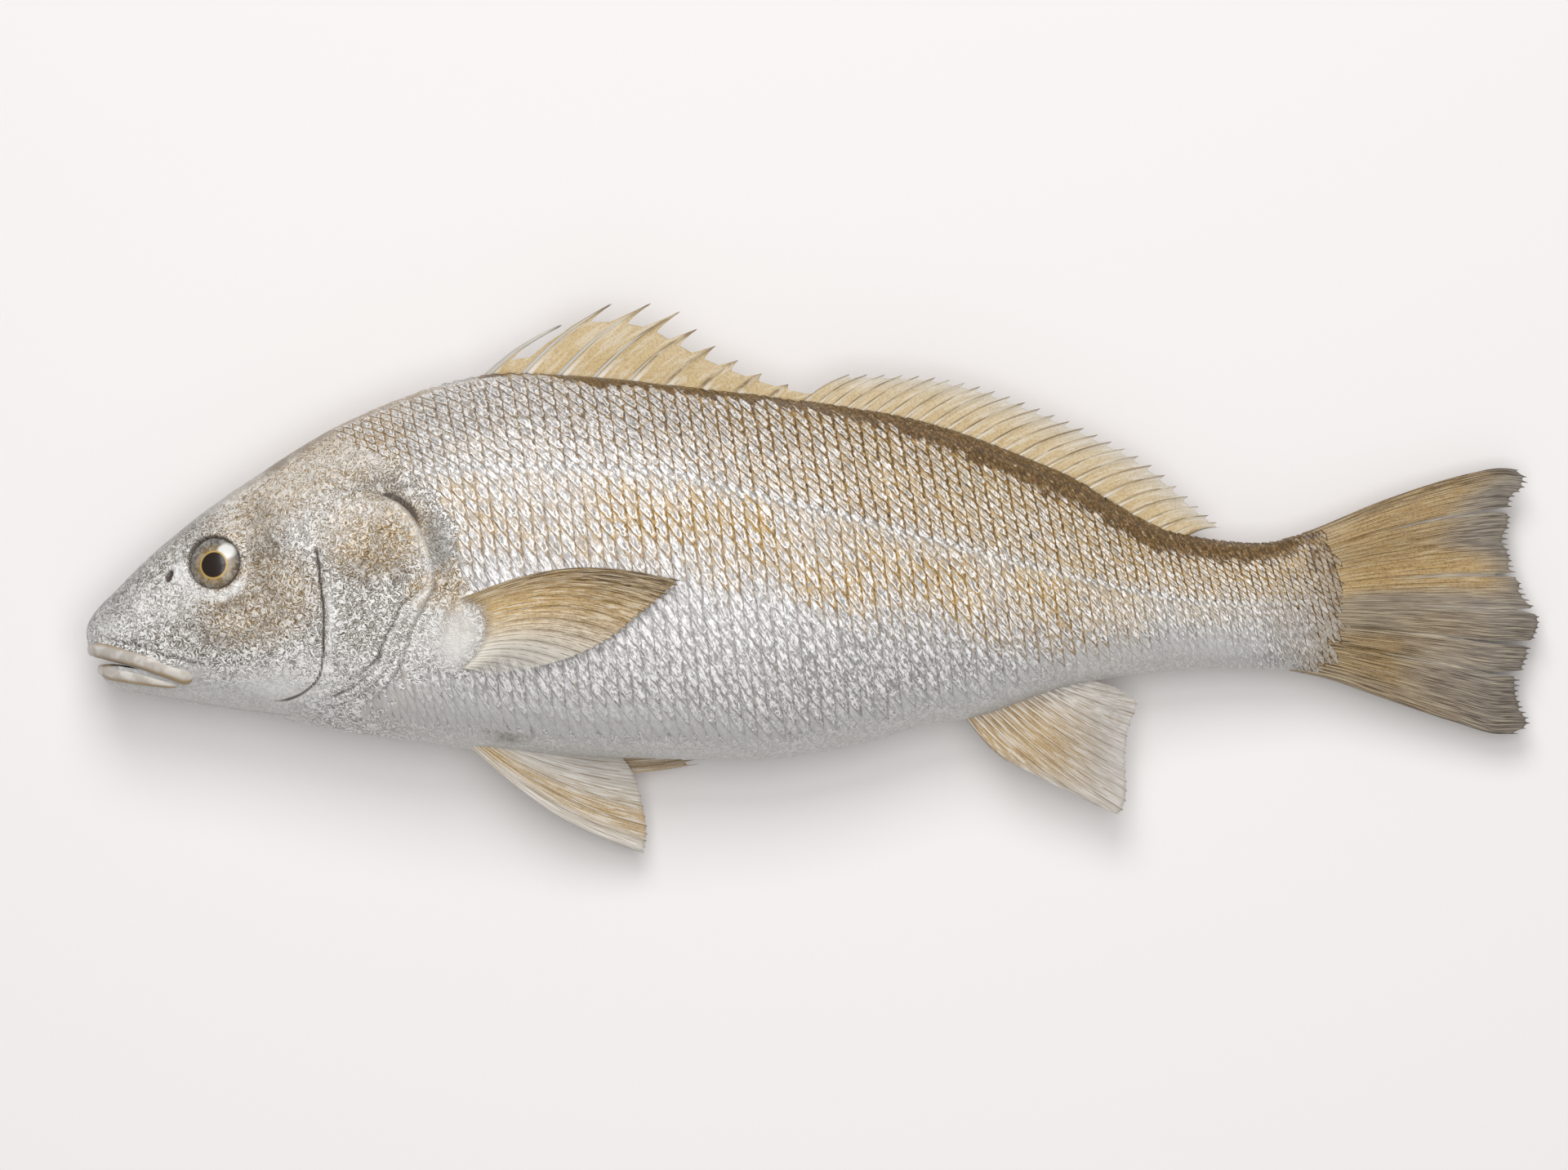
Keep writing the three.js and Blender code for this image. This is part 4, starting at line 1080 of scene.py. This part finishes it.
def onSpine(index, out):
    # a spine leans back from its root and bows upwards by the sine of the way along it
    lean = np.radians(spinyFin["lean"](index))
    length = np.interp(index, np.arange(spineCount), spinyFin["lengths"])
    root = spinyFin["first"] + spinyFin["spacing"] * index
    bow = spinyFin["arch"] * length * np.sin(pi * out)
    along = root + length * out * np.cos(lean) - bow * np.sin(lean)
    height = back(root) - finSeat + (length + finSeat) * out * np.sin(lean) + bow * np.cos(lean)
    return along, height, 0 * out * index


def spinyWeb(across, out):
    index = across * (spineCount - 1)
    depth = spinyFin["web"] + spinyFin["tear"] * smooth(index, 1, 0.75)
    return onSpine(index, out * scalloped(across, spineCount, depth))


addFin("spinyDorsal", spinyWeb, spineCount, lambda u, out: lerp(1.4, 0.5, out),
       lambda u, out: dict(
           tan=lerp(0.95, 0.75, out), dusk=0.8 * smooth(out, 0.1, 0.02), clear=0.12, rays=0.35),
       perRay=16, rows=30, ray=0.3, wave=0.35)


def addSpines(steps=30, around=14):
    # tapering rods, each a circle carried from root to tip
    index = np.arange(spineCount)[:, None, None]
    out = np.linspace(0, 1, steps)[None, :, None]
    angle = np.linspace(0, 2 * pi, around, endpoint=False)[None, None]
    thick = lerp(1.15, 0.65, index / (spineCount - 1)) * lerp(1, 0.25, out)
    thick = thick * np.sqrt(np.clip((1 - out) / 0.04, 0, 1)) * np.sqrt(np.clip(out / 0.03, 0, 1))
    lean = np.radians(spinyFin["lean"](index))
    along, height, side = onSpine(index, out)
    points = np.stack(np.broadcast_arrays(
        along + thick * np.cos(angle) * np.sin(lean), height - thick * np.cos(angle) * np.cos(lean),
        side + thick * np.sin(angle)), -1)
    faces = repeated(gridFaces(steps, around, wrapColumns=True), spineCount, steps * around)
    plan = np.stack(np.broadcast_arrays(np.cos(angle) + 0 * index, out), -1)
    addPiece("dorsalSpines", lay(points), faces, boneMaterial, uv=plan)


addSpines()

softFin = dict(
    first=220.4, last=339.4, rays=28,
    length=through([(0, 17.4), (0.2, 22.6), (0.5, 23.2), (0.75, 21.6), (0.93, 16.5), (1, 12.4)]),
    lean=through([(0, 27), (0.2, 27), (0.5, 20), (0.75, 15), (1, 8)]),
)


def softDorsal(across, out):
    # rays from a row of roots along the back, each bowed a little upwards
    root = lerp(softFin["first"], softFin["last"], across)
    reach = softFin["length"](across) * out * scalloped(across, softFin["rays"], 0.13)
    angle = np.radians(softFin["lean"](across))
    bow = 1.1 * np.sin(pi * out)
    return (root + reach * np.cos(angle) - bow * np.sin(angle),
            back(root) - finSeat + finSeat * out + reach * np.sin(angle) + bow * np.cos(angle), 0 * out)


addFin("softDorsal", softDorsal, softFin["rays"], lambda u, out: lerp(1.4, 0.45, out),
       lambda u, out: dict(tan=lerp(0.85, 0.25, out**2), dusk=0.7 * smooth(out, 0.12, 0.03),
                           clear=0.1 + 0.3 * smooth(out, 0.5, 1), rays=0.3 + 0.3 * out))

tail = dict(
    top=through([(360, 10.2), (372, 12.4), (382, 16.2), (402, 24.4), (428, 32.4), (438, 34.1), (450, 32.2)]),
    bottom=through([
        (360, -27.4), (372, -28.8), (382, -30.8), (402, -37.5), (423, -44.5), (438, -48.4), (450, -48.2)]),
    margin=through([
        (0, 443.5), (0.04, 447), (0.15, 443.4), (0.3, 446.6), (0.44, 450), (0.55, 445), (0.72, 440.4),
        (0.88, 441.8), (0.97, 446.6), (1, 443.5)]),
    rays=50, root=372,
    thickness=through([
        (0, 8.8), (0.11, 9.2), (0.18, 9), (0.25, 8.4), (0.32, 7.2), (0.38, 5.8), (0.5, 3.6), (0.7, 1.8),
        (1, 0.7)]),
    notch=2.6,  # mm, the deepest of the notches between ray tips
    slits=[(0.842, 17), (0.345, 22), (0.229, 15), (0.6, 6), (0.47, 8)],  # place across and depth of each
)


def tailFin(across, out):
    # rays spread between the fin's lower outline (0) and its upper (1)
    uneven = 0.6 + 0.4 * softNoise(across * tail["rays"], 0 * out, 1.5, 51)
    end = tail["margin"](across) - tail["notch"] * uneven * (1 - scalloped(across, tail["rays"], 1))
    for place, depth in tail["slits"]:
        end = end - depth * bell(across, place, 0.006)
    along = lerp(tail["root"], end, out)
    return along, lerp(tail["bottom"](along), tail["top"](along), across), 0 * along


def tailPigment(across, out):
    # golden in its upper half and at the foot of its lower, grey at its margin, dusky at its edges, and
    # painted pale at its slits, as light passing through them
    cloud = softNoise(across * 40, out * 14, 5, 52)
    upper = smooth(across + 0.08 * cloud, 0.42, 0.52) * smooth(out + 0.12 * cloud, 0.95, 0.7)
    gold = upper + smooth(across, 0.36, 0.28) * smooth(out, 0.62, 0.4) * smooth(across, 0, 0.12)
    gold = most(gold, 0.45 * smooth(out, 0.95, 0.5) * (1 + 0.6 * cloud))
    dusk = 0.95 * smooth(across, 0.36, 0.16) * smooth(out, 0.35, 0.7) + 0.95 * smooth(across, 0.9, 0.985)
    dusk = most(dusk, lerp(0.75, 0.32, upper) + 0.25 * cloud + 0.2 * smooth(out, 0.3, 0.1))
    # painted light at the slits: pale rays instead of the dark gap
    torn = sum(bell(across, place, 0.009) for place, depth in tail["slits"]) * smooth(out, 0.45, 0.7)
    return dict(tan=np.clip(gold * (1 - torn), 0, 1), dusk=np.clip(dusk * (1 - torn), 0, 1),
                clear=0.3 * smooth(out, 0.88, 1), rays=np.clip(0.75 + torn, 0, 1))


addFin("tailFin", tailFin, tail["rays"],
       lambda u, out: tail["thickness"](out) * np.sqrt(np.sin(pi * np.clip(u, 0.03, 0.97))),
       tailPigment, material=tailMaterial, perRay=6, rows=60, ray=0.3, wave=0.08)


def addFan(name, spec, pigment, **more):
    # rays from a short root to a rounded margin; rays in front bow the most, by the sine of the way out
    def spread(points):
        places = np.linspace(0, 1, len(points))
        return [through([(place, point[axis]) for place, point in zip(places, points)]) for axis in range(3)]

    roots, tips = spread(spec["roots"]), spread(spec["tips"])

    def point(across, out):
        share = out * scalloped(across, spec["rays"], spec["notch"])
        rise = spec["bow"] * (1 - across) * np.sin(pi * share)
        along, height, side = (lerp(start(across), end(across), share) for start, end in zip(roots, tips))
        return along, height + rise, side

    return addFin(name, point, spec["rays"], lambda u, out: lerp(*spec["thick"], out), pigment, **more)


analFin = dict(
    roots=[(271, -42.5, 0), (290, -37, 0), (309.5, -31, 0)],
    tips=[(290, -59.6, -3), (319, -73.2, -4.5), (321.8, -66, -4), (321.4, -57, -3.5), (321.8, -49, -3),
          (324.8, -39, -2), (318, -33.6, -1)],
    rays=19, notch=0.012, bow=-2.5, thick=(1.8, 0.5),
)
addFan("analFin", analFin,
       lambda u, out: dict(tan=0.85 * smooth(out, 0.95, 0.3) * smooth(u, 0.85, 0.3),
                           dusk=0.2 + 0.4 * smooth(out, 0.3, 0.1),
                           clear=0.12 + 0.45 * smooth(out, 0.2, 0.9) * smooth(u, 0, 0.5), rays=0.7),
       material=bellyFinMaterial, ray=0.25)

leftPelvicFin = dict(
    roots=[(116, -49.5, 6), (121, -47.6, 8.5), (126, -46, 10.5)],
    tips=[(172.1, -85.3, -15.5), (173.2, -79, -14), (171.8, -69.5, -11), (168, -58.5, -7), (161, -52.2, -2.5),
          (150, -50.4, 4)],
    rays=17, notch=0.008, bow=-5.4, thick=(2, 0.6),
)
addFan("pelvicLeft", leftPelvicFin,
       lambda u, out: dict(tan=0.75 * bell(u, 0.26, 0.13) + 0.3 * smooth(out, 0.35, 0.1),
                           dusk=0.1 + 0.25 * smooth(u, 0.75, 1),
                           clear=0.05 + 0.4 * smooth(u, 0.3, 0.9) * smooth(out, 0.2, 0.8), rays=0.8),
       material=bellyFinMaterial, rows=48, ray=0.25)

rightPelvicFin = dict(
    roots=[(116.5, -47.5, -7), (121, -46.6, -8.5), (126, -46, -10)],
    tips=[(189.6, -57.6, -15), (186, -55, -16.5), (180, -51, -18.5), (170, -48, -20)],
    rays=7, notch=0.05, bow=-7.4, thick=(2, 0.6),
)
addFan("pelvicRight", rightPelvicFin, lambda u, out: dict(tan=0.6, dusk=0.25, clear=0.05, rays=0.6),
       material=bellyFinMaterial, perRay=12, rows=48)

pectoralFin = dict(
    roots=[(111, -8.5), (118.5, -10), (121.5, -17), (119.5, -23.5), (116.5, -27.6)],
    tips=[(184.7, -1), (178.5, -6.4), (171.4, -11.9), (163, -18.6), (151, -24.4), (139, -27.6), (125, -29.6)],
    rays=25, notch=0.025, bow=7.6, thick=(1.5, 0.5),
)


def pectoralPigment(across, out):
    # golden in its upper half, with a dusky upper edge, and clear towards its lower rays
    clear = most(0.05 + 0.8 * smooth(across, 0.5, 0.95) * smooth(out, 0.1, 0.6), smooth(out, 0.14, 0.02))
    dusk = 0.85 * smooth(across, 0.36, 0.0) + 0.35 * smooth(out, 0.3, 0.8) * smooth(across, 0.75, 0.5)
    return dict(tan=smooth(across, 0.75, 0.32) * lerp(1, 0.85, out), dusk=dusk, clear=clear, rays=0.7)


def addPectoral(name, side, tipLift):
    # the same fan on either flank: it folds back along the body, its tips tipLift clear of the skin
    spec = dict(pectoralFin)
    for key, over in (("roots", 0.6), ("tips", tipLift)):
        spec[key] = [
            (along, height, side * float(flank(along, height) + over)) for along, height in pectoralFin[key]]
    addFan(name, spec, pectoralPigment, material=pectoralMaterial, rows=56)


addPectoral("pectoralLeft", 1, 3.2)
addPectoral("pectoralRight", -1, 0.3)
print("fins set")

studio = dict(
    table="#f3f0ef", tableSize=6.0, air=(1, 0.99, 0.985, 1), airStrength=0.18,
    lights=[  # name, power, size and place
        ("keyLight", 19, 1.0, (-0.15, 1.15, 1.65)), ("topLight", 23, 1.4, (0.1, 0.0, 2.2)),
        ("fillLight", 4, 1.8, (0.2, -1.3, 1.7))],
    lens=300, sensor=36, frameWidth=0.4846, aim=(-0.00946, -0.00215, 0.026),
)


def makeStudio():
    # a pale table, soft lights turned to the aim, and a camera straight above that takes in frameWidth
    half = studio["tableSize"] / 2
    mesh = bpy.data.meshes.new("table")
    corners = [(-half, -half, 0), (half, -half, 0), (half, half, 0), (-half, half, 0)]
    mesh.from_pydata(corners, [], [(0, 1, 2, 3)])
    mesh.materials.append(newMaterial("mattPaper", lambda add: add(
        "BsdfPrincipled", sockets={"Base Color": studio["table"], "Roughness": 0.9})))
    newObject("table", mesh)

    for name, power, size, at in studio["lights"]:
        light = bpy.data.lights.new(name, "AREA")
        light.energy, light.size = power, size
        lamp = newObject(name, light)
        lamp.location = at
        away = np.array(at) - np.array(studio["aim"])
        tilt = np.arctan2(np.hypot(away[0], away[1]), away[2])
        lamp.rotation_euler = (tilt, 0, np.arctan2(away[0], -away[1]))

    scene = bpy.context.scene
    scene.world = bpy.data.worlds.new("studioAir")
    scene.world.use_nodes = True
    air = scene.world.node_tree.nodes["Background"].inputs
    air["Color"].default_value, air["Strength"].default_value = studio["air"], studio["airStrength"]

    camera = bpy.data.cameras.new("camera")
    camera.lens, camera.sensor_width, camera.clip_end = studio["lens"], studio["sensor"], 20
    scene.camera = newObject("camera", camera)
    x, y, z = studio["aim"]
    scene.camera.location = (x, y, z + studio["frameWidth"] * camera.lens / camera.sensor_width)
    scene.view_settings.view_transform = "Standard"


makeStudio()
print("studio ready")
